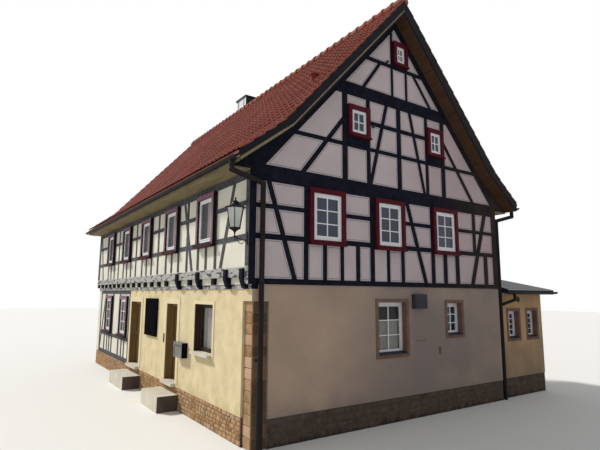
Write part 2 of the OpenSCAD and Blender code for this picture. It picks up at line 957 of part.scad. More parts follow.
corner_pipe_x = 150;
corner_pipe_y = front_face - pipe_r - 30;
east_pipe_x = house_w + 110;
east_pipe_y = annex_back - pipe_r - 30;

module downpipes() {
    sleeve_r = pipe_r + 14;
    clip_h = 50;
    color("saddlebrown") placed() {
        pipe([
            [-eaves_reach - gutter_r, -verge_reach / 2, gutter_z - gutter_r],
            [-eaves_reach - gutter_r, -verge_reach / 2, gutter_z - 260],
            [corner_pipe_x, corner_pipe_y, gutter_z - 420],
            [corner_pipe_x, corner_pipe_y, 0]
        ], pipe_r);
        translate([corner_pipe_x, corner_pipe_y, 0]) cylinder(r = sleeve_r, h = 1350);
        for (clip = [[1700, pillar_back], [wall_top + 35, front_face], [wall_top + 975, front_face]])
            translate([corner_pipe_x - clip_h / 2, corner_pipe_y, clip[0]])
                cube([clip_h, clip[1] - corner_pipe_y, clip_h]);
        pipe([
            [2 * ridge_x + eaves_reach + gutter_r, -verge_reach / 2, gutter_z - gutter_r],
            [2 * ridge_x + eaves_reach + gutter_r, -verge_reach / 2, gutter_z - 260],
            [east_pipe_x, east_pipe_y, gutter_z - 420],
            [east_pipe_x, east_pipe_y, 0]
        ], pipe_r);
        pipe([
            [annex_x + 420, annex_back - annex_eaves - gutter_r, annex_gutter_z - gutter_r],
            [annex_x + 420, annex_back - annex_eaves - gutter_r, annex_gutter_z - 250],
            [east_pipe_x, east_pipe_y, annex_gutter_z - 420]
        ], pipe_r - 10);
        for (z = [900, 2300])
            translate([east_pipe_x - clip_h / 2, east_pipe_y, z])
                cube([clip_h, annex_back - east_pipe_y, clip_h]);
    }
}

module chimney() {
    cap_t = 50;
    cap_reach = 45;
    color("whitesmoke") placed() {
        chimney_shaft(floor_top, ridge_top + chimney_rise);
        translate([chimney_x - cap_reach, chimney_y - cap_reach, ridge_top + chimney_rise])
            cube([chimney_w + 2 * cap_reach, chimney_l + 2 * cap_reach, cap_t]);
    }
}

// Window parts, drawn with local X to the right, Y into the wall and Z up
module casing(win, proud) {
    sill_t = 45;
    sill_reach = 50;
    ring(win[2], win[3], casing_w, -proud, 90);
    translate([-win[2] / 2, -proud - sill_reach, 0]) cube([win[2], sill_reach, sill_t]);
}

module window_casings() {
    color("darkred") placed() {
        for (x = front_window_x) {
            on_front(x, window_z, front_face) casing(storey_window(x), casing_proud);
            on_rear(x, window_z, rear_face) casing(storey_window(x), casing_proud);
        }
        for (a = attic_windows) {
            win = attic_window(a);
            on_front(win[0], win[1], front_face) casing(win, casing_proud);
            on_rear(win[0], win[1], rear_face) casing(win, casing_proud);
        }
        for (y = street_window_ys) {
            on_street(y, window_z, street_face) casing(storey_window(y), street_casing_proud);
            on_east(y, window_z, house_w) casing(storey_window(y), street_casing_proud);
        }
        for (win = far_windows) on_street(win[0], win[1], 0) casing(win, casing_proud);
    }
}

// A sash frame or its pane, inside a surround that is edge wide
module sash(win, edge, depth) {
    translate([0, 0, edge]) ring(win[2] - 2 * edge, win[3] - 2 * edge, sash_w, depth, depth + sash_t);
}

module pane(win, edge, depth) {
    inset = edge + sash_w;
    translate([inset - win[2] / 2, depth + (sash_t - pane_t) / 2, inset])
        cube([win[2] - 2 * inset, pane_t, win[3] - 2 * inset]);
}

module all_storey_windows(gable_depth, side_depth) {
    for (x = front_window_x) {
        on_front(x, window_z, front_face + gable_depth) children(0);
        on_rear(x, window_z, rear_face - gable_depth) children(0);
    }
    for (y = street_window_ys) {
        on_street(y, window_z, street_face + side_depth) children(0);
        on_east(y, window_z, house_w - side_depth) children(0);
    }
}

gable_depth = sash_back - casing_proud;
side_depth = sash_back - street_casing_proud;

module window_sashes() {
    color("white") placed() {
        all_storey_windows(gable_depth, side_depth) sash(storey_window(0), casing_w, 0);
        for (a = attic_windows) {
            win = attic_window(a);
            on_front(win[0], win[1], front_face) sash(win, casing_w, gable_depth);
            on_rear(win[0], win[1], rear_face) sash(win, casing_w, gable_depth);
        }
        for (win = far_windows) on_street(win[0], win[1], 0) sash(win, casing_w, gable_depth);
        for (win = front_stone_windows) on_front(win[0], win[1], 0) sash(win, stone_w, reveal);
        for (win = rear_stone_windows) on_rear(win[0], win[1], house_l) sash(win, stone_w, reveal);
        for (win = east_stone_windows) on_east(win[0], win[1], house_w) sash(win, stone_w, reveal);
        for (win = annex_stone_windows)
            on_front(win[0], win[1], annex_back) sash(win, stone_w, reveal);
        on_street(plain_window[0], plain_window[1] + 60, reveal)
            ring(plain_window[2], plain_window[3] - 60, plain_frame_w, 0, sash_t);
    }
}

module window_glass() {
    color("lightblue", 0.5) placed() {
        all_storey_windows(gable_depth, side_depth) pane(storey_window(0), casing_w, 0);
        for (a = attic_windows) {
            win = attic_window(a);
            on_front(win[0], win[1], front_face) pane(win, casing_w, gable_depth);
            on_rear(win[0], win[1], rear_face) pane(win, casing_w, gable_depth);
        }
        for (win = far_windows) on_street(win[0], win[1], 0) pane(win, casing_w, gable_depth);
        for (win = front_stone_windows) on_front(win[0], win[1], 0) pane(win, stone_w, reveal);
        for (win = rear_stone_windows) on_rear(win[0], win[1], house_l) pane(win, stone_w, reveal);
        for (win = east_stone_windows) on_east(win[0], win[1], house_w) pane(win, stone_w, reveal);
        for (win = annex_stone_windows)
            on_front(win[0], win[1], annex_back) pane(win, stone_w, reveal);
        on_street(plain_window[0], plain_window[1] + 60, reveal)
            translate([plain_frame_w - plain_window[2] / 2, (sash_t - pane_t) / 2, plain_frame_w])
                cube([plain_window[2] - 2 * plain_frame_w, pane_t,
                      plain_window[3] - 60 - 2 * plain_frame_w]);
    }
}

// A six-sided lantern on a bracket at the near corner
module corner_lantern() {
    base_z = wall_top + 1120;
    arm_z = base_z - 150;
    lantern_x = street_face - 290;
    lantern_y = 40;
    base_r = 120;
    color("black") placed() {
        translate([lantern_x, lantern_y, 0]) {
            translate([0, 0, arm_z - 40]) cylinder(r = 16, h = 190);
            translate([0, 0, base_z]) cylinder(r1 = base_r, r2 = lantern_r, h = lantern_h, $fn = 6);
            translate([0, 0, base_z + lantern_h]) cylinder(r1 = lantern_r + 25, r2 = 45, h = 130, $fn = 6);
            translate([0, 0, base_z + lantern_h + 130]) cylinder(r = 22, h = 90);
        }
        translate([lantern_x, lantern_y - 15, arm_z - 15])
            cube([street_face - lantern_x, 30, 30]);
        translate([street_face - 12, lantern_y - 30, arm_z - 120]) cube([12, 60, 240]);
    }
}

module sign_board() {
    color("black") placed() translate([-60, 5920, 1750]) cube([60, 1130, 1140]);
}

module letterbox() {
    color("slategray") placed() translate([-160, 3400, 1400]) cube([160, 620, 380]);
}

module vent_box() {
    color("darkslategray") placed() translate([4680, -130, 2700]) cube([450, 130, 370]);
}

// Annex
module annex_base() {
    color("rosybrown") placed()
        translate([annex_x, annex_back + plinth_inset, 0])
            cube([annex_w - plinth_inset, annex_d - 2 * plinth_inset, plinth_h]);
}

// The volume under three slopes, raised over the line of the wall tops
module annex_hip(raised) {
    low_x = annex_x1 + annex_eaves;
    low_y = annex_back - annex_eaves;
    high_y = annex_y1 + annex_eaves;
    edge_z = annex_top - annex_slope * annex_eaves + raised;
    intersection() {
        across(low_y - cut, high_y - low_y + 2 * cut) polygon([
            [annex_x, 0], [low_x, 0], [low_x, edge_z],
            [annex_x, edge_z + annex_slope * (low_x - annex_x)]
        ]);
        along(annex_x - cut, low_x - annex_x + 2 * cut) polygon([
            [low_y, 0], [high_y, 0], [high_y, edge_z],
            [(low_y + high_y) / 2, edge_z + annex_slope * (high_y - low_y) / 2],
            [low_y, edge_z]
        ]);
    }
}

module annex_walls() {
    color("khaki") placed() difference() {
        intersection() {
            translate([annex_x, annex_back, plinth_h]) cube([annex_w, annex_d, ridge_top]);
            annex_hip(0);
        }
        translate([annex_x - cut, annex_back + annex_wall_t, plinth_h - cut])
            cube([annex_w + cut - annex_wall_t, annex_d - 2 * annex_wall_t, ridge_top]);
        across(annex_back - cut, annex_wall_t + 2 * cut)
            for (win = annex_stone_windows) hole(win);
    }
}

module annex_roof() {
    color("dimgray") placed() difference() {
        annex_hip(annex_roof_t);
        annex_hip(0);
        translate([annex_x - cut, annex_back - annex_eaves - cut, 0])
            cube([200 + cut, annex_eaves + cut, ridge_top]);
    }
}

ground_floor();
plinth_long_walls();
plinth_end_walls();
front_wall();
corner_pillar();
street_walls();
street_lintels();
rear_wall();
east_wall();
stone_window_frames();
stone_sills();
door_steps();
plaster_surrounds();
door_frames();
near_door_leaf();
far_door_leaf();
near_door_handles();
far_door_handles();
street_ground_frame();
street_plate();
joist_ends();
knee_consoles();
street_frame();
front_frame();
rear_frame();
east_frame();
front_gable_frame();
rear_gable_frame();
street_infill();
front_infill();
rear_infill();
east_infill();
upper_floor();
attic_floor();
loft_floor();
street_roof_deck();
east_roof_deck();
street_tiles();
east_tiles();
ridge_tiles();
verge_boards();
eaves_soffits();
gutters();
downpipes();
chimney();
window_casings();
window_sashes();
window_glass();
corner_lantern();
sign_board();
letterbox();
vent_box();
annex_base();
annex_walls();
annex_roof();
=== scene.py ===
"""Looks of the half timbered house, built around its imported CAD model.

Metres, in the CAD's frame: X along the gable front, Y along the street side, Z up.
Places are given in house coordinates, from the near corner of the ground floor walls.
"""

import math
import random

import bpy
from mathutils import Matrix, Vector


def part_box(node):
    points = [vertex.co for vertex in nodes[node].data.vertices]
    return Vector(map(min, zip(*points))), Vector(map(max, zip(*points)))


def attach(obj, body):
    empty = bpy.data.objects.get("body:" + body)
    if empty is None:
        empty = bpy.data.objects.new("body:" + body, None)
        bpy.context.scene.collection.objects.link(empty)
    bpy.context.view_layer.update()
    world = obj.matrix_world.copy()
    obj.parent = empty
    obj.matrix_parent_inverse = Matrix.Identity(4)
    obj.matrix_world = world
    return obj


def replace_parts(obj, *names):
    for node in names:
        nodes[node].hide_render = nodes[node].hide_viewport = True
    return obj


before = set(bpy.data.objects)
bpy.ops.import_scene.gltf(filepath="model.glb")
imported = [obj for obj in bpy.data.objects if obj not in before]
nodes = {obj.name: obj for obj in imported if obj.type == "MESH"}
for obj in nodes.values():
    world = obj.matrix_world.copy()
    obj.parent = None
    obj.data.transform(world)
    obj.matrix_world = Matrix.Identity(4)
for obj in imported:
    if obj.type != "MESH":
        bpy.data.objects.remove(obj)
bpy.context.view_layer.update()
rng = random.Random(7)

# Places that the scene shares with the CAD
WALL_LOW, WALL_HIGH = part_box("front_wall")
REAR_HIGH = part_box("rear_wall")[1]
CORNER = Vector((WALL_LOW.x, WALL_LOW.y, 0))
HOUSE_W = WALL_HIGH.x - WALL_LOW.x
HOUSE_L = REAR_HIGH.y - WALL_LOW.y
WALL_TOP = WALL_HIGH.z
CHIMNEY_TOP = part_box("chimney")[1].z
PLINTH_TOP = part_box("plinth_long_walls")[1].z
RIDGE_X = HOUSE_W / 2
PLINTH_INSET = 0.012
PILLAR_W = 0.40
FRONT_FACE = -0.03
STREET_FACE = -0.12
SASH_W = 0.075
ANNEX_BACK = 0.10
ATTIC_Z = 5.5
# How far in the street side's surfaces reach, and where openings lie along their walls
STREET_SKIN = 0.1
STREET_REVEAL = 0.45
STREET_DEPTH = 0.5
DOORWAYS_Y = ((4.1, 5.2), (7.6, 9.0))
PLAIN_WINDOW_Y = (1.8, 3.1)
LARGE_WINDOW_X = (3.3, 4.6)


def at(x, y, z):
    """A point in house coordinates, in the row frame."""
    return CORNER + Vector((x, y, z))


def house_box(node):
    """The low and high corner of a CAD node, in house coordinates."""
    return [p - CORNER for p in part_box(node)]


# Meshes
UP = Vector((0, 0, 1))
BOX_FACES = [(0, 3, 2, 1), (4, 5, 6, 7), (0, 1, 5, 4), (1, 2, 6, 5), (2, 3, 7, 6), (3, 0, 4, 7)]
TURNED_BOX_FACES = [(0, 1, 2, 3), (7, 6, 5, 4), (0, 4, 5, 1), (1, 5, 6, 2), (2, 6, 7, 3), (3, 7, 4, 0)]


def band_faces(n, start=0):
    """Faces between two rings of n points that follow each other."""
    return [(start + i, start + (i + 1) % n, start + n + (i + 1) % n, start + n + i)
            for i in range(n)]


def ring_faces(rings, sides):
    """Faces along a row of rings, closed at both ends."""
    faces = []
    for i in range(rings - 1):
        faces += band_faces(sides, i * sides)
    faces.append(tuple(range(sides - 1, -1, -1)))
    faces.append(tuple((rings - 1) * sides + k for k in range(sides)))
    return faces


class Shape:
    """Gathers faces and makes them into one piece."""

    def __init__(self):
        self.points = []
        self.faces = []

    def add(self, points, faces):
        start = len(self.points)
        self.points.extend(Vector(p) for p in points)
        self.faces.extend([tuple(start + i for i in f) for f in faces])

    def box(self, low, high):
        (x0, y0, z0), (x1, y1, z1) = low, high
        self.add([(x0, y0, z0), (x1, y0, z0), (x1, y1, z0), (x0, y1, z0),
                  (x0, y0, z1), (x1, y0, z1), (x1, y1, z1), (x0, y1, z1)], BOX_FACES)

    def tube(self, path, radius, sides=10):
        """A round bar along a path."""
        path = [Vector(p) for p in path]
        points = []
        side = None
        for i, p in enumerate(path):
            along = (path[min(i + 1, len(path) - 1)] - path[max(i - 1, 0)]).normalized()
            if side is None:
                side = along.orthogonal().normalized()
            side = (side - along * side.dot(along)).normalized()
            up = along.cross(side)
            for k in range(sides):
                a = 2 * math.pi * k / sides
                points.append(p + (side * math.cos(a) + up * math.sin(a)) * radius)
        self.add(points, ring_faces(len(path), sides))

    def turned(self, centre, profile, sides=16):
        """A form turned about an upright axis from (radius, height) pairs."""
        points = []
        for r, z in profile:
            for k in range(sides):
                a = 2 * math.pi * k / sides
                points.append(Vector(centre) + Vector((r * math.cos(a), r * math.sin(a), z)))
        self.add(points, ring_faces(len(profile), sides))

    def piece(self, name, material, slot, body="house", smooth=False):
        mesh = bpy.data.meshes.new(name)
        mesh.from_pydata([tuple(p) for p in self.points], [], self.faces)
        mesh.validate()
        if smooth:
            mesh.polygons.foreach_set("use_smooth", [True] * len(mesh.polygons))
        mesh.materials.append(material)
        mesh.update()
        piece = bpy.data.objects.new(name, mesh)
        bpy.context.scene.collection.objects.link(piece)
        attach(piece, body)
        return piece


def boxes_piece(name, boxes, material, slot):
    """A piece made of upright boxes, each given by its low and high corner."""
    shape = Shape()
    for low, high in boxes:
        shape.box(low, high)
    shape.piece(name, material, slot)


def solids(node):
    """The boxes of a CAD node's separate solids."""
    mesh = nodes[node].data
    first, parent = {}, {}
    for v in mesh.vertices:
        parent[v.index] = first.setdefault(tuple(round(c, 4) for c in v.co), v.index)

    def root(i):
        while parent[i] != i:
            i = parent[i]
        return i

    for face in mesh.polygons:
        for v in face.vertices[1:]:
            parent[root(v)] = root(face.vertices[0])
    boxes = {}
    for v in mesh.vertices:
        low, high = boxes.setdefault(root(v.index), (v.co.copy(), v.co.copy()))
        for k in range(3):
            low[k] = min(low[k], v.co[k])
            high[k] = max(high[k], v.co[k])
    return list(boxes.values())


# Materials
BLACK, WHITE = (0, 0, 0), (1, 1, 1)


def new_material(name):
    """A material, its node tree and its shader."""
    material = bpy.data.materials.new(name)
    material.use_nodes = True
    tree = material.node_tree
    return material, tree, tree.nodes["Principled BSDF"]


def link(tree, a, b):
    tree.links.new(a, b)


def add_node(tree, kind, **values):
    made = tree.nodes.new(kind)
    for key, value in values.items():
        setattr(made, key, value)
    return made


def feed(tree, sockets, values):
    """Set each socket to its number or colour, or link it to what it is given."""
    for socket, value in zip(sockets, values):
        if isinstance(value, (int, float)):
            socket.default_value = value
        elif isinstance(value, tuple):
            socket.default_value = (*value, 1)
        else:
            link(tree, value, socket)


def maths(tree, operation, a, b=0):
    made = add_node(tree, "ShaderNodeMath", operation=operation)
    feed(tree, made.inputs, (a, b))
    return made.outputs[0]


def noise(tree, vector, scale, detail=4.0, rough=0.55):
    made = add_node(tree, "ShaderNodeTexNoise")
    made.inputs["Scale"].default_value = scale
    made.inputs["Detail"].default_value = detail
    made.inputs["Roughness"].default_value = rough
    link(tree, vector, made.inputs["Vector"])
    return made.outputs["Fac"]


def ramp(tree, factor, stops):
    made = add_node(tree, "ShaderNodeValToRGB")
    line = made.color_ramp
    while len(line.elements) < len(stops):
        line.elements.new(0.5)
    for element, (place, colour) in zip(line.elements, stops):
        element.position = place
        element.color = (*colour, 1)
    link(tree, factor, made.inputs[0])
    return made.outputs[0]


def mix(tree, factor, a, b, kind="MIX"):
    made = add_node(tree, "ShaderNodeMix", data_type="RGBA", blend_type=kind)
    feed(tree, (made.inputs[0], made.inputs[6], made.inputs[7]), (factor, a, b))
    return made.outputs[2]


def scaled(colour, share):
    return tuple(min(1.0, c * share) for c in colour)


def places(tree, scale=(1, 1, 1)):
    """Places on the part, with a scale along each axis."""
    mapping = add_node(tree, "ShaderNodeMapping")
    mapping.inputs["Scale"].default_value = scale
    link(tree, add_node(tree, "ShaderNodeTexCoord").outputs["Object"], mapping.inputs["Vector"])
    return mapping.outputs[0]


def place_along(tree, axis):
    split = add_node(tree, "ShaderNodeSeparateXYZ")
    link(tree, places(tree), split.inputs[0])
    return split.outputs[axis]


def share_between(tree, value, low, high):
    """0 where the value is low, growing to 1 where it is high."""
    return maths(tree, "DIVIDE", maths(tree, "SUBTRACT", value, low), high - low)


def surface(name, colour, spread=0.18, scale=1.6, rough=0.85, bump=0.25, bump_scale=60.0,
            stretch=(1, 1, 1), per_stone=0.0, stain_and_shade=None, metallic=0.0, boards=None, hue=None,
            gloss=0.06):
    """A weathered surface: blotches, fine relief, and a tone for each separate stone or tile.

    The colour varies by spread, in blotches of a fineness of scale; bump and bump_scale are the
    relief's. stretch scales the pattern along each axis.
    stain_and_shade is (colour, low, high): a darker tone that grows from height low down to nothing at
    height high; painted shade on the gable plaster and plinth, a stain elsewhere.
    boards is (axis, width): dark joints across that axis. hue is a second colour for stones.
    gloss is the share of light that the surface mirrors, 0.5 for clean paint or glass.
    """
    material, tree, shader = new_material(name)
    vector = places(tree, stretch)
    broad = noise(tree, vector, scale, 6.0)
    tone = ramp(tree, broad, [(0.3, scaled(colour, 1 - spread)), (0.52, colour),
                              (0.74, scaled(colour, 1 + spread))])
    fine = noise(tree, vector, bump_scale, 5.0, 0.65)
    grain = ramp(tree, fine, [(0.3, scaled(WHITE, 0.75)), (0.7, WHITE)])
    tone = mix(tree, 0.35, tone, grain, "MULTIPLY")
    height = fine
    if per_stone:
        island = add_node(tree, "ShaderNodeNewGeometry").outputs["Random Per Island"]
        if hue:
            tone = mix(tree, ramp(tree, island, [(0.45, BLACK), (0.95, WHITE)]), tone, hue)
        shade = ramp(tree, island, [(0.0, scaled(WHITE, 1 - per_stone)), (1.0, WHITE)])
        tone = mix(tree, 1.0, tone, shade, "MULTIPLY")
    if stain_and_shade:
        low_colour, low, high = stain_and_shade
        rise = share_between(tree, place_along(tree, "Z"), low, high)
        ragged = maths(tree, "ADD", rise, maths(tree, "MULTIPLY", broad, 1.2))
        tone = mix(tree, ramp(tree, ragged, [(0.45, scaled(WHITE, 0.75)), (1.0, BLACK)]), tone,
                   low_colour)
    if boards:
        axis, width = boards
        phase = maths(tree, "FRACT", maths(tree, "DIVIDE", place_along(tree, axis), width))
        joint = ramp(tree, phase, [(0.0, BLACK), (0.05, WHITE)])
        tone = mix(tree, 0.75, tone, joint, "MULTIPLY")
        height = maths(tree, "MULTIPLY", fine, joint)
    link(tree, tone, shader.inputs["Base Color"])
    shader.inputs["Roughness"].default_value = rough
    shader.inputs["Metallic"].default_value = metallic
    shader.inputs["Specular IOR Level"].default_value = gloss
    relief = add_node(tree, "ShaderNodeBump")
    relief.inputs["Strength"].default_value = bump
    relief.inputs["Distance"].default_value = 0.01
    link(tree, height, relief.inputs["Height"])
    link(tree, relief.outputs[0], shader.inputs["Normal"])
    return material


def painted_over(material, share, colour):
    """Another colour over a material's own, by a share from 0 to 1."""
    tree = material.node_tree
    base = tree.nodes["Principled BSDF"].inputs["Base Color"]
    link(tree, mix(tree, share, base.links[0].from_socket, colour), base)


def flaking(material, low, high, colour):
    """Pale flaking paint on a timber between two heights."""
    tree = material.node_tree
    height = place_along(tree, "Z")
    inside = maths(tree, "MULTIPLY", maths(tree, "GREATER_THAN", height, low),
                   maths(tree, "LESS_THAN", height, high))
    flakes = ramp(tree, noise(tree, places(tree, (1, 0.3, 1)), 11.0, 5.0, 0.6),
                  [(0.43, BLACK), (0.46, WHITE)])
    painted_over(material, maths(tree, "MULTIPLY", inside, flakes), colour)


def tone_along_gable(material, from_x, to_x, colour, scale=2.2):
    """Another tone in patches towards the east end of the gable; painted shade where it darkens the
    plaster and the infill.
    """
    tree = material.node_tree
    share = share_between(tree, place_along(tree, "X"), from_x, to_x)
    patchy = maths(tree, "MULTIPLY", maths(tree, "MINIMUM", share, 1.0),
                   noise(tree, places(tree), scale, 6.0))
    painted_over(material, ramp(tree, patchy, [(0.15, BLACK), (0.6, WHITE)]), colour)


def glass(name, colour, alpha):
    material, tree, shader = new_material(name)
    wave = noise(tree, places(tree), 1.3, 2.0)
    link(tree, ramp(tree, wave, [(0.3, scaled(colour, 0.7)), (0.7, scaled(colour, 1.3))]),
         shader.inputs["Base Color"])
    shader.inputs["Roughness"].default_value = 0.04
    shader.inputs["Alpha"].default_value = alpha
    relief = add_node(tree, "ShaderNodeBump")
    relief.inputs["Strength"].default_value = 0.02
    link(tree, wave, relief.inputs["Height"])
    link(tree, relief.outputs[0], shader.inputs["Normal"])
    return material


# Painted shade at the foot of the gable plinth: a near black tone that grows towards the ground.
SHADED_FOOT = ((0.016, 0.014, 0.017), 0.0, 0.30)
# The gable plaster is darker towards its foot: painted shade.
BEIGE = surface("beige_render", (0.43, 0.32, 0.245), 0.12, 0.9, 0.92, 0.2, 90,
                stain_and_shade=((0.18, 0.15, 0.135), 0.55, 1.5))
YELLOW = surface("yellow_render", (0.68, 0.57, 0.355), 0.12, 2.6, 0.92, 0.3, 30,
                 stain_and_shade=((0.52, 0.40, 0.22), 0.45, 1.5))
SURROUND = surface("surround_render", (0.72, 0.62, 0.41), 0.08, 2.0, 0.9, 0.15, 80)
RUBBLE = surface("rubble_mortar", (0.27, 0.185, 0.11), 0.25, 3.0, 0.95, 0.6, 50)
# The gable plinth in darker copies of the rubble stone and its mortar: painted shade.
RUBBLE_SHADE = surface("rubble_shade", (0.125, 0.092, 0.072), 0.35, 5.0, 0.92, 0.7, 45,
                       per_stone=0.35, hue=(0.09, 0.072, 0.062), stain_and_shade=SHADED_FOOT)
SHADED_MORTAR = surface("shaded_mortar", (0.095, 0.070, 0.056), 0.25, 3.0, 0.95, 0.6, 50,
                      stain_and_shade=SHADED_FOOT)
RUBBLE_STONE = surface("rubble_stone", (0.60, 0.36, 0.175), 0.25, 5.0, 0.92, 0.7, 45,
                       per_stone=0.5, hue=(0.42, 0.29, 0.19))
SLAB = surface("floor_slab", (0.42, 0.40, 0.37), 0.15, 1.5, 0.9, 0.2, 60)
SANDSTONE = surface("red_sandstone", (0.19, 0.115, 0.092), 0.2, 3.5, 0.9, 0.45, 70)
# The corner pillar's sandstone in two copies: painted shade on the gable face, painted sunlight on the
# street face.
SHADED_PILLAR_STONE = surface("shaded_pillar_stone", (0.145, 0.098, 0.062), 0.25, 5.0, 0.9, 0.6, 50,
                       per_stone=0.3, hue=(0.19, 0.115, 0.075))
SUNLIT_PILLAR_STONE = surface("sunlit_pillar_stone", (0.42, 0.26, 0.135), 0.35, 7.0, 0.9, 0.8, 40,
                       per_stone=0.30, hue=(0.50, 0.33, 0.22))
# Painted shade for the front faces of the door steps.
STEP_SHADE = surface("step_shade", (0.10, 0.075, 0.068), 0.2, 4.0, 0.9, 0.4, 60)
PALE_STONE = surface("pale_stone", (0.60, 0.56, 0.47), 0.15, 3.0, 0.85, 0.35, 60)
DOOR_WOOD = surface("door_leaf_wood", (0.155, 0.092, 0.033), 0.15, 2.0, 0.5, 0.15, 40,
                    (14, 14, 1.5), boards=("Y", 0.105))
DOOR_FRAME = surface("door_frame_wood", (0.20, 0.125, 0.048), 0.15, 2.0, 0.5, 0.15, 40,
                     (12, 12, 1.5))
# Painted shade: the doorway reveals of the yellow plaster in a dark olive brown.
SHADED_DOOR_REVEAL = surface("door_reveal", (0.20, 0.125, 0.053), 0.15, 1.6, 0.9, 0.2, 60)
# Dark olive wood of the plain street window, also used as painted shade on that window's reveal.
OLIVE_WOOD_AND_SHADE = surface("olive_wood_and_shade", (0.048, 0.030, 0.024), 0.15, 2.0, 0.5, 0.15, 40)
STEEL = surface("handle_metal", (0.55, 0.53, 0.50), 0.05, 8.0, 0.28, 0.03, 90, metallic=1.0)
GREY_TIMBER = surface("grey_timber", (0.085, 0.085, 0.094), 0.45, 2.6, 0.85, 0.5, 30, (4, 4, 4))
BLACK_TIMBER = surface("black_timber", (0.011, 0.012, 0.021), 0.35, 2.2, 0.8, 0.4, 34, (3, 3, 3),
                       gloss=0.03)
CREAM_INFILL = surface("cream_infill", (0.70, 0.68, 0.58), 0.08, 1.8, 0.92, 0.2, 60)
WHITE_INFILL = surface("white_infill", (0.53, 0.455, 0.475), 0.07, 1.2, 0.92, 0.18, 60)
PANEL_LINE = surface("panel_line", (0.13, 0.13, 0.16), 0.2, 3.0, 0.9, 0.1, 60)
FLOOR_WOOD = surface("floor_boards", (0.45, 0.32, 0.19), 0.15, 2.0, 0.7, 0.2, 40, (6, 1, 6),
                     boards=("X", 0.14))
ROOF_BOARDS = surface("roof_boards", (0.085, 0.046, 0.027), 0.25, 2.0, 0.75, 0.3, 30, (5, 1, 5))
CLAY = surface("clay_tiles", (0.32, 0.092, 0.066), 0.30, 0.9, 0.8, 0.35, 70, per_stone=0.20,
               hue=(0.25, 0.10, 0.08))
# Painted shade on the tiles' lower edges and undersides.
SHADED_TILE_EDGE = surface("shaded_clay_tile_edges", (0.085, 0.032, 0.026), 0.25, 3.0, 0.9, 0.3, 60)
CLAY_BED = surface("clay_bed", (0.24, 0.12, 0.09), 0.2, 3.0, 0.9, 0.3, 60)
VERGE = surface("verge_wood", (0.010, 0.011, 0.015), 0.3, 2.5, 0.7, 0.25, 34, (2, 2, 2), gloss=0.1)
SOFFIT = surface("soffit_wood", (0.23, 0.185, 0.105), 0.22, 1.8, 0.7, 0.3, 30, (5, 1, 5),
                 boards=("X", 0.11))
BROWN_SHEET = surface("brown_sheet", (0.020, 0.016, 0.015), 0.15, 3.0, 0.5, 0.05, 40)
ZINC = surface("chimney_sheet", (0.62, 0.64, 0.64), 0.12, 3.0, 0.42, 0.05, 20, metallic=0.2)
# Dark sheet of the chimney cap, seams and sills, also used as painted shade on the chimney's front
# side.
DARK_SHEET_AND_SHADE = surface("dark_sheet_and_shade", (0.022, 0.024, 0.034), 0.15, 3.0, 0.45, 0.05, 30)
OXBLOOD = surface("oxblood_wood", (0.075, 0.006, 0.014), 0.25, 3.0, 0.5, 0.15, 34, (3, 3, 3))
DARK_RED = surface("dark_red_wood", (0.035, 0.006, 0.010), 0.25, 3.0, 0.6, 0.2, 34, (3, 3, 3))
FADED_RED = surface("faded_red_wood", (0.23, 0.125, 0.16), 0.25, 3.0, 0.7, 0.2, 34, (3, 3, 3))
WHITE_WOOD = surface("white_wood", (0.78, 0.77, 0.80), 0.04, 3.0, 0.35, 0.05, 34, gloss=0.4)
# Painted reflection of the sky: the gable windows' panes tinted dark blue.
SKY_TINTED_PANE = glass("window_pane", (0.024, 0.038, 0.072), 0.8)
STREET_PANE = glass("street_pane", (0.055, 0.06, 0.06), 0.25)
LANTERN_IRON = surface("lantern_iron", (0.014, 0.015, 0.018), 0.2, 8.0, 0.45, 0.2, 60)
LANTERN_GLASS = glass("lantern_glass", (0.70, 0.72, 0.68), 0.7)
CLEAR_PANE = glass("clear_pane", (0.055, 0.05, 0.045), 0.22)
# Black of the sign board, also used as painted shade on the letterbox's front side.
SIGN_BLACK_AND_SHADE = surface("sign_black", (0.007, 0.007, 0.009), 0.3, 3.0, 0.9, 0.04, 12, gloss=0.0)
GREY_METAL = surface("letterbox_grey", (0.18, 0.18, 0.17), 0.08, 4.0, 0.4, 0.05, 60)
SLOT_METAL = surface("letterbox_slot", (0.09, 0.09, 0.087), 0.08, 4.0, 0.4, 0.05, 60)
DARK_METAL = surface("vent_grey", (0.050, 0.048, 0.058), 0.1, 4.0, 0.45, 0.05, 60)
ANNEX = surface("annex_render", (0.45, 0.295, 0.165), 0.10, 1.1, 0.92, 0.2, 80,
                stain_and_shade=((0.22, 0.17, 0.125), 0.9, 4.2))
ANNEX_SHEET = surface("annex_sheet", (0.018, 0.020, 0.028), 0.15, 2.0, 0.4, 0.05, 30, metallic=0.3)
# Black paint of the joist heads, and painted shade on their sides and on the street casings' near and
# upper sides.
BLACK_PAINT_AND_SHADE = surface("joist_black_and_shade", (0.014, 0.014, 0.016), 0.3, 4.0, 0.9, 0.4, 34)
CURTAIN = surface("curtain_cloth", (0.74, 0.72, 0.67), 0.05, 4.0, 0.95, 0.15, 200)
VENT_CLAY = surface("vent_tile", (0.17, 0.03, 0.025), 0.15, 6.0, 0.7, 0.2, 60)

flaking(GREY_TIMBER, WALL_TOP - 0.11, WALL_TOP + 0.37, (0.39, 0.38, 0.36))
# Painted shade: the gable plaster and infill grow darker towards the east end. The black timber turns
# browner there.
tone_along_gable(BEIGE, -5.2, 0.6, (0.24, 0.195, 0.18), 0.5)
tone_along_gable(WHITE_INFILL, -2.2, 3.8, (0.42, 0.315, 0.33), 0.5)
tone_along_gable(BLACK_TIMBER, 0.2, 4.2, (0.040, 0.029, 0.024))

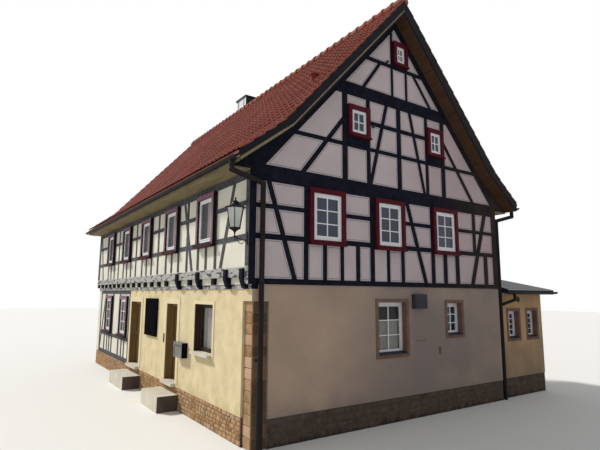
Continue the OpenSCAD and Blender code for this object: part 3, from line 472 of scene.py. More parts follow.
PAINT = {
    BEIGE: ["front_wall", "rear_wall", "east_wall"],
    YELLOW: ["street_walls", "street_lintels"],
    SURROUND: ["plaster_surrounds"],
    RUBBLE: ["plinth_long_walls", "plinth_end_walls", "annex_base", "corner_pillar"],
    SLAB: ["ground_floor"],
    SANDSTONE: ["stone_window_frames"],
    PALE_STONE: ["stone_sills", "door_steps"],
    DOOR_WOOD: ["near_door_leaf", "far_door_leaf"],
    DOOR_FRAME: ["door_frames"],
    STEEL: ["near_door_handles", "far_door_handles"],
    GREY_TIMBER: ["street_frame", "street_ground_frame", "street_plate", "joist_ends"],
    BLACK_TIMBER: ["front_frame", "rear_frame", "east_frame", "front_gable_frame",
                   "rear_gable_frame", "knee_consoles"],
    CREAM_INFILL: ["street_infill", "east_infill"],
    WHITE_INFILL: ["front_infill", "rear_infill"],
    FLOOR_WOOD: ["upper_floor", "attic_floor", "loft_floor"],
    ROOF_BOARDS: ["street_roof_deck", "east_roof_deck"],
    CLAY_BED: ["street_tiles", "east_tiles"],
    CLAY: ["ridge_tiles"],
    VERGE: ["verge_boards"],
    SOFFIT: ["eaves_soffits"],
    BROWN_SHEET: ["gutters", "downpipes"],
    ZINC: ["chimney"],
    OXBLOOD: ["window_casings"],
    WHITE_WOOD: ["window_sashes"],
    SKY_TINTED_PANE: ["window_glass"],
    LANTERN_IRON: ["corner_lantern"],
    SIGN_BLACK_AND_SHADE: ["sign_board"],
    GREY_METAL: ["letterbox"],
    DARK_METAL: ["vent_box"],
    ANNEX: ["annex_walls"],
    ANNEX_SHEET: ["annex_roof"],
}
for material, names in PAINT.items():
    for name in names:
        mesh = nodes[name].data
        mesh.materials.clear()
        mesh.materials.append(material)


def repaint(node, material, wanted):
    """Another material on the faces whose middle, in house coordinates, and normal are wanted."""
    mesh = nodes[node].data
    mesh.materials.append(material)
    for face in mesh.polygons:
        if wanted(face.center - CORNER, face.normal):
            face.material_index = len(mesh.materials) - 1


def between(value, limits):
    return limits[0] < value < limits[1]


def to_street(n):
    return n.x < -0.5


def to_front(n):
    return n.y < -0.5


def on_street_side(p, n):
    return to_street(n) and p.x < STREET_SKIN


def by_doorway(p, n):
    return (abs(n.y) > 0.5 and p.x < STREET_REVEAL
            and any(between(p.y, span) for span in DOORWAYS_Y))


def of_plain_window(p, n):
    return p.x < STREET_DEPTH and between(p.y, PLAIN_WINDOW_Y) and p.z < WALL_TOP


def of_large_window(p, n):
    return p.y < 1.0 and between(p.x, LARGE_WINDOW_X) and p.z < WALL_TOP


def shaded_plain_window_reveal(p, n):
    return (to_front(n) and between(p.x, (0.01, STREET_REVEAL))
            and between(p.y, PLAIN_WINDOW_Y))


def casing_shade(p, n):
    """The near and upper sides of the street windows' casings, which take painted shade."""
    return p.x < STREET_SKIN < p.y and (to_front(n) or n.z > 0.5)


repaint("front_wall", YELLOW, on_street_side)
repaint("rear_wall", CREAM_INFILL, on_street_side)
for name in ("street_roof_deck", "east_roof_deck"):
    repaint(name, BLACK_TIMBER, lambda p, n: abs(n.y) > 0.5)
    repaint(name, SOFFIT, lambda p, n: abs(n.x) > 0.95)
for name in ("front_frame", "rear_frame"):
    repaint(name, GREY_TIMBER, lambda p, n: to_street(n) and p.x < STREET_FACE + 0.01)
# Painted shade on the doorway reveals.
repaint("street_walls", SHADED_DOOR_REVEAL, by_doorway)
repaint("window_sashes", OLIVE_WOOD_AND_SHADE, of_plain_window)
# Painted shade: the plinth's front faces take the darker mortar.
for name in ("plinth_end_walls", "plinth_long_walls", "annex_base"):
    repaint(name, SHADED_MORTAR, lambda p, n: to_front(n) and p.y < 0.5)
# Painted shade on the door steps' front faces.
repaint("door_steps", STEP_SHADE, lambda p, n: to_front(n))
# The joist heads: black paint, and painted shade on their sides.
repaint("joist_ends", BLACK_PAINT_AND_SHADE, lambda p, n: True)
repaint("street_plate", BLACK_TIMBER, lambda p, n: to_front(n))
repaint("window_casings", FADED_RED, on_street_side)
# Painted shade on the near and upper sides of the street casings.
repaint("window_casings", BLACK_PAINT_AND_SHADE, casing_shade)
# Painted shade on the plain window's reveal.
repaint("street_walls", OLIVE_WOOD_AND_SHADE, shaded_plain_window_reveal)
repaint("window_glass", STREET_PANE, lambda p, n: p.x < STREET_DEPTH)
repaint("window_glass", STREET_PANE, of_large_window)
repaint("window_glass", CLEAR_PANE, of_plain_window)
# Painted shade on the letterbox's front side.
repaint("letterbox", SIGN_BLACK_AND_SHADE, lambda p, n: to_front(n))
# Painted shade on the chimney's front side. The cap is dark sheet.
repaint("chimney", DARK_SHEET_AND_SHADE, lambda p, n: to_front(n) or p.z > CHIMNEY_TOP - 0.07)


# Roof tiles
VERGE_REACH = 0.43
BED_REACH = 0.40
RIDGE_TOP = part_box("street_tiles")[1].z
RIDGE_COVER = 0.17
KICK_X = 0.44
EAVES_X = -0.59
ROOF_SLOPE = 1.12
KICK_SLOPE = 0.77
KICK_Z = RIDGE_TOP - ROOF_SLOPE * (RIDGE_X - KICK_X)
BED_TOP = 0.030
BED_T = 0.088
TILE_W = 0.2105
TILE_GAUGE = 0.335
TILE_OVERLAP = 0.048
TILE_T = 0.020
TILE_BASE = -0.014
TILE_LIFT = 0.030
# Across one interlocking tile: place and height of its roll and two troughs
TILE_PROFILE = [(0.0, 0.004), (0.010, 0.022), (0.026, 0.029), (0.042, 0.022), (0.056, 0.004),
                (0.085, 0.0), (0.112, 0.006), (0.130, 0.012), (0.148, 0.006), (0.176, 0.0),
                (0.207, 0.003)]


def slope_x(x, east):
    """A place on the street slope, or its twin on the east slope."""
    return 2 * RIDGE_X - x if east else x


def roof_point(s):
    """The point of the street slope at a distance s up from its lower edge."""
    kick_run = KICK_X - EAVES_X
    run = s / math.hypot(1, KICK_SLOPE)
    if run < kick_run:
        return Vector((EAVES_X + run, 0, KICK_Z - KICK_SLOPE * (kick_run - run)))
    run = (s - kick_run * math.hypot(1, KICK_SLOPE)) / math.hypot(1, ROOF_SLOPE)
    return Vector((KICK_X + run, 0, KICK_Z + run * ROOF_SLOPE))


def one_tile(shape, east, low, high, y, stretch):
    """One tile from its lower to its upper edge, its lower edge lifted by the course below."""
    along = (high - low).normalized()
    normal = Vector((-along.z, 0, along.x))
    lift = TILE_BASE + TILE_LIFT + rng.uniform(-0.002, 0.003)
    slip = along * rng.uniform(-0.005, 0.005)
    points = []
    for end, rise in ((low + slip, lift), (high, TILE_BASE)):
        for drop in (0, TILE_T):
            for u, h in TILE_PROFILE:
                p = end + normal * (rise + h - drop)
                points.append(at(slope_x(p.x, east), y + u * stretch, p.z))
    n = len(TILE_PROFILE)
    faces = []
    for i in range(n - 1):
        faces.append((i, i + 1, 2 * n + i + 1, 2 * n + i))
        faces.append((n + i, n + i + 1, i + 1, i))
    faces.append((0, 2 * n, 3 * n, n))
    faces.append((n - 1, 2 * n - 1, 4 * n - 1, 3 * n - 1))
    if not east:
        faces = [f[::-1] for f in faces]
    shape.add(points, faces)


def tile_courses(shape, east, skip=None):
    length = (KICK_X - EAVES_X) * math.hypot(1, KICK_SLOPE) - RIDGE_COVER
    length += (RIDGE_X - KICK_X) * math.hypot(1, ROOF_SLOPE)
    courses = round(length / TILE_GAUGE)
    gauge = length / courses
    across = HOUSE_L + 2 * VERGE_REACH
    count = round(across / TILE_W)
    width = across / count
    for course in range(courses):
        low = roof_point(course * gauge)
        high = roof_point((course + 1) * gauge + TILE_OVERLAP)
        for column in range(count):
            y = -VERGE_REACH + column * width
            if not (skip and skip(low.x, high.x, y, y + width)):
                one_tile(shape, east, low, high, y, width / TILE_W)


def roof_bed(shape, east, y0, y1):
    """The bed under the tiles, between two places along the house."""
    line = [roof_point(0), Vector((KICK_X, 0, KICK_Z)), Vector((RIDGE_X, 0, RIDGE_TOP))]
    outline = [p - UP * BED_TOP for p in line] + [p - UP * BED_T for p in reversed(line)]
    points = [at(slope_x(p.x, east), y, p.z) for y in (y0, y1) for p in outline]
    n = len(outline)
    faces = band_faces(n)
    for i in (0, n):
        faces += [(i, i + 1, i + 4, i + 5), (i + 1, i + 2, i + 3, i + 4)]
    shape.add(points, faces)


CHIMNEY_CAP = 0.045
chimney_low, chimney_high = house_box("chimney")
CHIMNEY_X, CHIMNEY_Y = ((chimney_low[k] + CHIMNEY_CAP, chimney_high[k] - CHIMNEY_CAP)
                        for k in (0, 1))


def at_chimney(x0, x1, y0, y1):
    """Whether an east slope tile, given by its street twin's x, would enter the chimney."""
    east_x0, east_x1 = slope_x(x1, True), slope_x(x0, True)
    return (east_x1 > CHIMNEY_X[0] and east_x0 < CHIMNEY_X[1]
            and y1 > CHIMNEY_Y[0] and y0 < CHIMNEY_Y[1])


street_roof, east_roof = Shape(), Shape()
tile_courses(street_roof, False)
roof_bed(street_roof, False, -BED_REACH, HOUSE_L + BED_REACH)
tile_courses(east_roof, True, at_chimney)
roof_bed(east_roof, True, -BED_REACH, CHIMNEY_Y[0])
roof_bed(east_roof, True, CHIMNEY_Y[1], HOUSE_L + BED_REACH)
for name, roof, node in (("street_roof_tiles", street_roof, "street_tiles"),
                         ("east_roof_tiles", east_roof, "east_tiles")):
    tiles = roof.piece(name, CLAY, "clay_tiles")
    # The tiles' downward faces take painted shade.
    tiles.data.materials.append(SHADED_TILE_EDGE)
    for face in tiles.data.polygons:
        if face.normal.z < -0.2:
            face.material_index = 1
    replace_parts(tiles, node)


def slope_sheet(shape, x0, x1, y0, y1, low, high):
    """A flat sheet on the upper east slope, between two heights over the roof line."""
    points = []
    for y in (y0, y1):
        for x, rise in ((x0, low), (x1, low), (x1, high), (x0, high)):
            z = RIDGE_TOP - (x - RIDGE_X) * ROOF_SLOPE + rise
            points.append(at(x, y, z))
    shape.add(points, TURNED_BOX_FACES)


flashing = Shape()
sheet_w, sheet_gap = 0.24, 0.001
x0, x1 = CHIMNEY_X
y0, y1 = CHIMNEY_Y
behind_x = x1 + sheet_gap
for place in ((behind_x, x1 + sheet_w, y0 - sheet_w, y1 + sheet_w),
              (RIDGE_X + 0.10, behind_x, y0 - sheet_w, y0 - sheet_gap),
              (RIDGE_X + 0.10, behind_x, y1 + sheet_gap, y1 + sheet_w)):
    slope_sheet(flashing, *place, -0.02, 0.088)
flashing.piece("chimney_flashing", ZINC, "brown_sheet")

# The verge boards' upper strips, up to the tiles
verge_strips = Shape()
for east in (False, True):
    for y in (-VERGE_REACH, HOUSE_L + BED_REACH):
        roof_bed(verge_strips, east, y, y + VERGE_REACH - BED_REACH)
verge_strips.piece("verge_board_tops", VERGE, "verge_wood")


def verge_line(shape, y0, y1, kick_band, slope_band):
    """A band on the street slope's verge, between two depths under the roof line."""
    stops = [(EAVES_X + 0.03, kick_band), (KICK_X - 0.12, kick_band), (KICK_X + 0.25, slope_band),
             (RIDGE_X, slope_band)]
    points = []
    for y in (y0, y1):
        for x, band in stops:
            line = KICK_Z + (x - KICK_X) * (KICK_SLOPE if x < KICK_X else ROOF_SLOPE)
            points += [at(x, y, line - band[0]), at(x, y, line - band[1])]
    n = 2 * len(stops)
    faces = []
    for i in range(0, n - 2, 2):
        faces += [(i, i + 1, i + 3, i + 2), (n + i, n + i + 2, n + i + 3, n + i + 1),
                  (i, i + 2, n + i + 2, n + i), (i + 1, n + i + 1, n + i + 3, i + 3)]
    faces += [(0, n, n + 1, 1), (n - 2, n - 1, 2 * n - 1, 2 * n - 2)]
    shape.add(points, faces)


# The tan lower edge of the street slope's verges
verge_edges = Shape()
for y in (-VERGE_REACH - 0.004, HOUSE_L + VERGE_REACH):
    verge_line(verge_edges, y, y + 0.004, (0.19, 0.26), (0.29, 0.335))
verge_edges.piece("verge_lower_edges", SOFFIT, "soffit_wood")


def ridge_caps():
    """Half round tiles along the ridge, each one's wide end over the last."""
    shape = Shape()
    pitch = 0.36
    count = round((HOUSE_L + 2 * VERGE_REACH) / pitch)
    pitch = (HOUSE_L + 2 * VERGE_REACH) / count
    sides = 12
    for i in range(count):
        y0 = -VERGE_REACH + i * pitch
        stations = [(y0, 0.150), (y0 + 0.06, 0.150), (y0 + 0.065, 0.132), (y0 + pitch, 0.120)]
        points, faces = [], []
        for y, r in stations:
            for k in range(sides + 1):
                a = math.radians(-25) + math.radians(230) * k / sides
                points.append(at(RIDGE_X + r * math.cos(a), y, RIDGE_TOP - 0.035 + r * math.sin(a)))
        for s in range(len(stations) - 1):
            for k in range(sides):
                a = s * (sides + 1) + k
                b = a + sides + 1
                faces.append((a, b, b + 1, a + 1))
        faces.append(tuple(range(sides + 1)))
        if i == count - 1:
            faces.append(tuple(len(points) - 1 - k for k in range(sides + 1)))
        shape.add(points, faces)
    return shape


caps = ridge_caps().piece("ridge_caps", CLAY, "clay_tiles")
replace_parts(caps, "ridge_tiles")


# Rubble, and the blocks of the corner pillar
def stone(shape, origin, right, out, width, height, depth, ragged, wear=0.22):
    """One hewn stone: a worn rim and a proud, uneven face."""
    cut = min(width, height) * wear
    rim = [(cut, 0), (width - cut, 0), (width, cut), (width, height - cut),
           (width - cut, height), (cut, height), (0, height - cut), (0, cut)]
    rim = [(u + rng.uniform(-ragged, ragged), v + rng.uniform(-ragged, ragged)) for u, v in rim]
    points = [origin + right * u + UP * v - out * 0.01 for u, v in rim]
    share = 1 - wear * 0.9
    for u, v in rim:
        face_u = width / 2 + (u - width / 2) * share
        face_v = height / 2 + (v - height / 2) * share
        points.append(origin + right * face_u + UP * face_v + out * depth * rng.uniform(0.6, 1.0))
    points.append(origin + right * width / 2 + UP * height / 2 + out * depth * 1.15)
    for p in points:
        p.z = max(p.z, 0.0)
    faces = band_faces(8)
    faces += [(8 + i, 8 + (i + 1) % 8, 16) for i in range(8)]
    shape.add(points, faces)


RUBBLE_ROW = 0.145


def rubble(shape, start, end, row_height=RUBBLE_ROW, joint=0.016):
    """Rows of uneven stones on a face of the plinth, from one (x, y) to another."""
    start, end = at(*start, 0), at(*end, 0)
    length = (end - start).length
    right = (end - start).normalized()
    out = right.cross(UP)
    rows = max(1, round(PLINTH_TOP / row_height))
    stretch = row_height / RUBBLE_ROW
    edges = [0.0]
    for row in range(1, rows):
        edges.append(PLINTH_TOP * (row + rng.uniform(-0.18, 0.18)) / rows)
    edges.append(PLINTH_TOP)
    for low, high in zip(edges, edges[1:]):
        u = 0.0
        while u < length - 0.06:
            width = min(rng.uniform(0.14, 0.42) * stretch, length - u)
            if length - u - width < 0.10:
                width = length - u
            stone(shape, start + right * (u + joint / 2) + UP * (low + joint / 2), right, out,
                  width - joint, high - low - joint, 0.014, 0.012)
            u += width


plinth, front_plinth = Shape(), Shape()
annex_low, annex_high = house_box("annex_base")
left, far = PLINTH_INSET, HOUSE_L - PLINTH_INSET
rubble(plinth, (left, far), (left, PILLAR_W), 0.095, 0.014)
rubble(front_plinth, (PILLAR_W, PLINTH_INSET), (HOUSE_W, PLINTH_INSET))
rubble(plinth, (HOUSE_W, far), (left, far))
rubble(plinth, (HOUSE_W, annex_high.y), (HOUSE_W, far))
rubble(front_plinth, (HOUSE_W, annex_low.y), (annex_high.x, annex_low.y))
rubble(plinth, (annex_high.x, annex_low.y), (annex_high.x, annex_high.y))
rubble(plinth, (annex_high.x, annex_high.y), (HOUSE_W, annex_high.y))
plinth.piece("plinth_stones", RUBBLE_STONE, "rubble_stone")
# The front plinth's stones take the shaded copy of the rubble: painted shade.
front_plinth.piece("front_plinth_stones", RUBBLE_SHADE, "rubble_stone")

pillar, pillar_side_blocks = Shape(), Shape()
pillar_low, pillar_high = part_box("corner_pillar")
BLOCK_COUNT = 13
BLOCK_JOINT = 0.010
block_h = (pillar_high.z - pillar_low.z) / BLOCK_COUNT
block_w = pillar_high.y - pillar_low.y
for i in range(BLOCK_COUNT):
    corner = Vector((pillar_low.x, pillar_low.y, pillar_low.z + i * block_h + BLOCK_JOINT / 2))
    for shape, foot, right, out in (
            (pillar, Vector((BLOCK_JOINT / 2, 0, 0)), (1, 0, 0), (0, -1, 0)),
            (pillar_side_blocks, Vector((0, block_w - BLOCK_JOINT / 2, 0)), (0, -1, 0), (-1, 0, 0))):
        stone(shape, corner + foot, Vector(right), Vector(out), block_w - BLOCK_JOINT,
              block_h - BLOCK_JOINT, 0.012, 0.003, 0.06)
# The gable face's blocks take painted shade, the street face's blocks painted sunlight.
pillar.piece("pillar_blocks", SHADED_PILLAR_STONE, "red_sandstone")
pillar_side_blocks.piece("pillar_street_blocks", SUNLIT_PILLAR_STONE, "red_sandstone")


# Painted lines on the infill panels
def outlines(node, axis, value):
    """The outer outlines of a CAD node's flat faces at one place along an axis."""
    mesh = nodes[node].data
    flat = [k for k in range(3) if k != axis]
    edges = {}
    for face in mesh.polygons:
        spots = [mesh.vertices[v].co for v in face.vertices]
        if any(abs(p[axis] - value) > 0.001 for p in spots):
            continue
        keys = [(round(p[flat[0]], 4), round(p[flat[1]], 4)) for p in spots]
        for a, b in zip(keys, keys[1:] + keys[:1]):
            if (b, a) in edges:
                del edges[(b, a)]
            else:
                edges[(a, b)] = True
    following = {}
    for a, b in edges:
        following.setdefault(a, []).append(b)
    loops = []
    while following:
        first = next(iter(following))
        loop, here = [], first
        while here in following:
            loop.append(here)
            after = following[here].pop()
            if not following[here]:
                del following[here]
            here = after
        loops.append(loop)
    return loops


def turns(loop):
    """Each point of a loop, with the directions of the edges before and after it."""
    spots = [Vector(p) for p in loop]
    for before, p, after in zip(spots[-1:] + spots, spots, spots[1:] + spots[:1]):
        yield p, (p - before).normalized(), (after - p).normalized()


def straightened(loop):
    """A loop without the points that lie on a straight edge, run counterclockwise."""
    kept = [tuple(p) for p, before, after in turns(loop)
            if abs(before.x * after.y - before.y * after.x) > 0.01]
    area = sum(a[0] * b[1] - b[0] * a[1] for a, b in zip(kept, kept[1:] + kept[:1]))
    return kept if area > 0 else kept[::-1]


def inset(loop, depth):
    """A loop moved inwards, or None where it is too narrow."""
    moved = []
    for p, before, after in turns(loop):
        left = Vector((-before.y, before.x))
        middle = (left + Vector((-after.y, after.x))).normalized()
        moved.append(p + middle * depth / max(0.2, middle.dot(left)))
    for i, p in enumerate(moved):
        edge = Vector(loop[(i + 1) % len(loop)]) - Vector(loop[i])
        if (moved[(i + 1) % len(moved)] - p).dot(edge) < 0.02 * edge.length:
            return None
    return moved


def panel_lines(shape, node, axis, value, out, edge=0.030, width=0.010):
    """A thin painted line round each panel, a little in from the timbers."""
    flat = [k for k in range(3) if k != axis]
    for loop in outlines(node, axis, value):
        loop = straightened(loop)
        if len(loop) < 3:
            continue
        outer, inner = inset(loop, edge), inset(loop, edge + width)
        if not outer or not inner:
            continue
        points = []
        for ring in (outer, inner):
            for p in ring:
                spot = Vector((0, 0, 0))
                spot[flat[0]], spot[flat[1]] = p
                spot[axis] = value + out * 0.0015
                points.append(spot)
        shape.add(points, band_faces(len(outer)))


lines = Shape()
front_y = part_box("front_infill")[0].y
panel_lines(lines, "front_infill", 1, front_y, -1)
panel_lines(lines, "rear_infill", 1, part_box("rear_infill")[1].y, 1)
lines.piece("panel_lines", PANEL_LINE, "white_infill")

# Panels too low to plaster are painted as timber
SLIVER_H = 0.09
SLIVER_EDGE = 0.01
slivers = []
for loop in outlines("front_infill", 1, front_y):
    across, heights = [p[0] for p in loop], [p[1] for p in loop]
    if max(heights) - min(heights) < SLIVER_H:
        slivers.append([(min(v) - SLIVER_EDGE, max(v) + SLIVER_EDGE) for v in (across, heights)])


def in_sliver(p, n):
    spot = p + CORNER
    return any(between(spot.x, across) and between(spot.z, heights) for across, heights in slivers)


repaint("front_infill", BLACK_TIMBER, in_sliver)


# Windows: bars and inner frames on each pane, curtains behind some
def window_place(low, high):
    """A pane's width direction, outward direction, centre, width and height."""
    size, centre = high - low, (low + high) / 2
    house = centre - CORNER
    if size.y < size.x:
        out = Vector((0, -1 if house.y < HOUSE_L / 2 else 1, 0))
        return Vector((1, 0, 0)), out, centre, size.x, size.z
    out = Vector((-1 if house.x < HOUSE_W / 2 else 1, 0, 0))
    return Vector((0, 1, 0)), out, centre, size.y, size.z


def oriented_box(shape, centre, side, out, half_w, half_h, depth0, depth1):
    """A bar on a pane, from depth0 to depth1 outwards of its middle."""
    points = [centre + side * half_w * su + UP * half_h * sv + out * d
              for d in (depth0, depth1) for su, sv in ((-1, -1), (1, -1), (1, 1), (-1, 1))]
    shape.add(points, BOX_FACES if side.cross(UP).dot(out) > 0 else TURNED_BOX_FACES)


def pane_pattern(centre, out):
    """How many panes wide and high the bars make a window."""
    house = centre - CORNER
    if abs(out.y) > 0.5:
        if house.x > HOUSE_W:
            return 2, 4
        return (2, 2) if house.z > ATTIC_Z else (2, 3)
    if house.z > WALL_TOP or (out.x < 0 and house.y < 4):
        return 1, 1
    return 2, 3


BAR_FOOT = 0.006
LIP_TOP = 0.040
UPRIGHT_HALF_W, UPRIGHT_TOP = 0.014, 0.026
CROSSBAR_HALF_H, CROSSBAR_TOP = 0.012, 0.024
bars, plain_bars = Shape(), Shape()
windows = [window_place(low, high) for low, high in solids("window_glass")]
for side, out, centre, width, height in windows:
    lip_w = 0.026 if centre.z < ATTIC_Z else 0.008
    lips = plain_bars if of_plain_window(centre - CORNER, out) else bars
    for sign in (-1, 1):
        oriented_box(lips, centre + side * sign * (width / 2 - lip_w / 2), side, out,
                     lip_w / 2, height / 2, BAR_FOOT, LIP_TOP)
        oriented_box(lips, centre + UP * sign * (height / 2 - lip_w / 2), side, out,
                     width / 2 - lip_w, lip_w / 2, BAR_FOOT, LIP_TOP)
    across, rows = pane_pattern(centre, out)
    for i in range(1, across):
        u = -width / 2 + width * i / across
        oriented_box(bars, centre + side * u, side, out,
                     UPRIGHT_HALF_W, height / 2 - lip_w, BAR_FOOT, UPRIGHT_TOP)
    for i in range(1, rows):
        v = -height / 2 + height * i / rows
        oriented_box(bars, centre + UP * v, side, out,
                     width / 2 - lip_w, CROSSBAR_HALF_H, BAR_FOOT, CROSSBAR_TOP)
bars.piece("window_bars", WHITE_WOOD, "white_wood")
plain_bars.piece("plain_window_lips", OLIVE_WOOD_AND_SHADE, "white_wood")


def curtain(name, centre, side, out, width, height, gather, bays):
    """A hung curtain in even folds."""
    steps = bays * 12
    gap, fold = 0.025, 0.015
    points, cut, last = [], 0.0, None
    for i in range(steps + 1):
        u = -width / 2 + width * gather * i / steps
        d = -gap - fold * (1 + math.sin(2 * math.pi * bays * i / steps))
        if last:
            cut += math.hypot(u - last[0], d - last[1])
        last = (u, d)
        for v in (-height / 2, height / 2):
            points.append(centre + side * u + out * d + UP * v)
    faces = [(2 * i, 2 * i + 2, 2 * i + 3, 2 * i + 1) for i in range(steps)]
    shape = Shape()
    shape.add(points, faces)
    piece = shape.piece(name, CURTAIN, "white_wood", smooth=True)


street_panes = [w for w in windows if w[1].x < -0.5]
street_panes.sort(key=lambda w: (w[2].z, w[2].y))
for i, (side, out, centre, width, height) in enumerate(street_panes):
    share = 0.98 if of_plain_window(centre - CORNER, out) else 0.55
    curtain(f"curtain_{i + 1}", centre, side, out, width, height * 0.98, share, 4)
for side, out, centre, width, height in windows:
    if of_large_window(centre - CORNER, out):
        drop = height * 0.62
        lower = centre - UP * ((height - drop) / 2 - 0.03)
        curtain("curtain_front", lower, side, out, width, drop, 0.98, 7)


# Chimney sheet seams
SEAM = 0.012
seams = []
for share in (0.22, 0.78):
    x, y = (span[0] + (span[1] - span[0]) * share for span in (CHIMNEY_X, CHIMNEY_Y))
    for seam_x, seam_y in [(face, y) for face in CHIMNEY_X] + [(x, face) for face in CHIMNEY_Y]:
        seams.append((at(seam_x - SEAM, seam_y - SEAM, RIDGE_TOP - 0.9),
                      at(seam_x + SEAM, seam_y + SEAM, CHIMNEY_TOP - 0.05)))
boxes_piece("chimney_seams", seams, DARK_SHEET_AND_SHADE, "brown_sheet")


def lantern():
    """The corner lantern: six panes between iron bars, on a curled arm."""
    lamp_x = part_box("corner_lantern")[0].x + 0.215
    lamp_y = CORNER.y + 0.04
    base_z = WALL_TOP + 1.12
    base_r, top_r, body_h = 0.115, 0.185, 0.42
    iron, panes = Shape(), Shape()

    def ring(radius, z):
        return [Vector((lamp_x + radius * math.cos(a), lamp_y + radius * math.sin(a), z))
                for a in (2 * math.pi * k / 6 for k in range(6))]

    low_ring, high_ring = ring(base_r, base_z), ring(top_r, base_z + body_h)
    for k in range(6):
        n = (k + 1) % 6
        iron.tube([low_ring[k], high_ring[k]], 0.009, 8)
        iron.tube([low_ring[k], low_ring[n]], 0.010, 8)
        iron.tube([high_ring[k], high_ring[n]], 0.012, 8)
        outer = [low_ring[k], low_ring[n], high_ring[n], high_ring[k]]
        inner = [p.lerp(Vector((lamp_x, lamp_y, p.z)), 0.03) for p in outer]
        panes.add(outer + inner, TURNED_BOX_FACES)
    middle = Vector((lamp_x, lamp_y, base_z))
    iron.turned(middle, [(0.012, -0.20), (0.020, -0.17), (0.012, -0.14), (0.018, -0.09),
                         (0.045, -0.055), (0.105, -0.02), (base_r + 0.010, 0.0),
                         (base_r - 0.01, 0.012)], 12)
    iron.turned(middle + UP * body_h,
                [(top_r - 0.01, -0.004), (top_r + 0.030, 0.0), (top_r + 0.028, 0.012), (0.125, 0.040),
                 (0.085, 0.080), (0.070, 0.112), (0.072, 0.122), (0.030, 0.150), (0.012, 0.172),
                 (0.012, 0.180), (0.022, 0.196), (0.012, 0.214), (0.003, 0.222)], 12)
    arm_z = base_z - 0.15
    wall_x = CORNER.x + STREET_FACE
    iron.tube([(lamp_x, lamp_y, base_z - 0.16), (lamp_x, lamp_y, arm_z - 0.02),
               (lamp_x + 0.05, lamp_y, arm_z - 0.045), (wall_x, lamp_y, arm_z - 0.10)], 0.011, 8)
    scroll = [(lamp_x + 0.05 + 0.20 * t, lamp_y, arm_z - 0.06 - 0.10 * math.sin(math.pi * t) ** 0.8)
              for t in [i / 10 for i in range(11)]]
    iron.tube(scroll, 0.007, 8)
    iron.turned((lamp_x, lamp_y, arm_z - 0.10), [(0.004, 0.0), (0.016, 0.015), (0.004, 0.032)], 10)
    iron.tube([(lamp_x, lamp_y, arm_z - 0.02), (lamp_x, lamp_y, arm_z - 0.075)], 0.006, 8)
    iron.box((wall_x - 0.012, lamp_y - 0.03, arm_z - 0.16), (wall_x, lamp_y + 0.03, arm_z + 0.09))
    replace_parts(iron.piece("lantern_ironwork", LANTERN_IRON, "lantern_iron"), "corner_lantern")
    panes.piece("lantern_panes", LANTERN_GLASS, "window_pane")


lantern()

# Fittings of the letterbox, vent and annex
letter_low, letter_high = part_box("letterbox")
front_x, inner_x = letter_low.x, letter_low.x + 0.01
boxes_piece("letterbox_front", [
    ((front_x - 0.004, letter_low.y + 0.06, letter_high.z - 0.10),
     (inner_x, letter_high.y - 0.06, letter_high.z - 0.06)),
    ((front_x - 0.003, letter_high.y - 0.12, letter_low.z + 0.03),
     (inner_x, letter_high.y - 0.02, letter_high.z - 0.13))], SLOT_METAL, "letterbox_grey")

louvres = Shape()
vent_low, vent_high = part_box("vent_box")
for i in range(7):
    z = vent_low.z + 0.05 + i * 0.042
    y = vent_low.y
    louvres.add([(vent_low.x + 0.03, y, z + 0.03), (vent_high.x - 0.03, y, z + 0.03),
                 (vent_high.x - 0.03, y - 0.012, z), (vent_low.x + 0.03, y - 0.012, z),
                 (vent_high.x - 0.03, y, z - 0.004), (vent_low.x + 0.03, y, z - 0.004)],
                [(3, 2, 1, 0), (5, 4, 2, 3), (0, 5, 3), (1, 2, 4)])
louvres.piece("vent_louvres", DARK_METAL, "vent_grey")

roundel = Shape()
annex_face = CORNER.y + ANNEX_BACK
roundel_x, roundel_z = CORNER.x + HOUSE_W + 1.20, 2.93
for r, d in ((0.085, 0.02), (0.062, 0.03)):
    roundel.tube([(roundel_x, annex_face, roundel_z), (roundel_x, annex_face - d, roundel_z)], r, 24)
roundel.piece("annex_vent", DARK_METAL, "vent_grey")

# Dark sheets on the sills of the stone windows
sheets = Shape()
for side, out, centre, width, height in windows:
    house = centre - CORNER
    if house.z > WALL_TOP or abs(out.y) < 0.5 or house.y > HOUSE_L / 2:
        continue
    sill_z = centre.z - height / 2 - SASH_W
    face_y = (CORNER.y if house.x < HOUSE_W else annex_face) - 0.045
    back_y = centre.y - 0.03
    half = width / 2 + SASH_W - 0.002
    x0, x1 = centre.x - half, centre.x + half
    sheets.add([(x0, face_y, sill_z + 0.004), (x1, face_y, sill_z + 0.004),
                (x1, back_y, sill_z + 0.045), (x0, back_y, sill_z + 0.045),
                (x0, face_y, sill_z), (x1, face_y, sill_z), (x1, back_y, sill_z), (x0, back_y, sill_z)],
               TURNED_BOX_FACES)
sheets.piece("sill_sheets", DARK_SHEET_AND_SHADE, "annex_sheet")

# Dark boards on the lower casings of the street windows
boxes_piece("street_sill_boards", [
    ((low.x - 0.004, low.y, low.z), (low.x, high.y, low.z + 0.10))
    for low, high in solids("window_casings")
    if low.x - CORNER.x < STREET_SKIN and high.x - low.x < high.y - low.y], DARK_RED, "oxblood_wood")

# A narrow slot and a small bracket on the gable plaster
boxes_piece("gable_wall_fittings", [(at(4.80, -0.004, 1.87), at(5.17, 0.0, 1.89)),
                                    (at(5.69, -0.03, 1.51), at(5.73, 0.0, 1.69))], SANDSTONE,
            "vent_grey")

# A pale edge over the annex gutter
roof_low, roof_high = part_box("annex_roof")
boxes_piece("annex_roof_edge", [((roof_low.x + 0.22, roof_low.y - 0.004, roof_low.z + 0.10),
                                 (roof_high.x, roof_low.y, roof_low.z + 0.145))], ZINC, "brown_sheet")

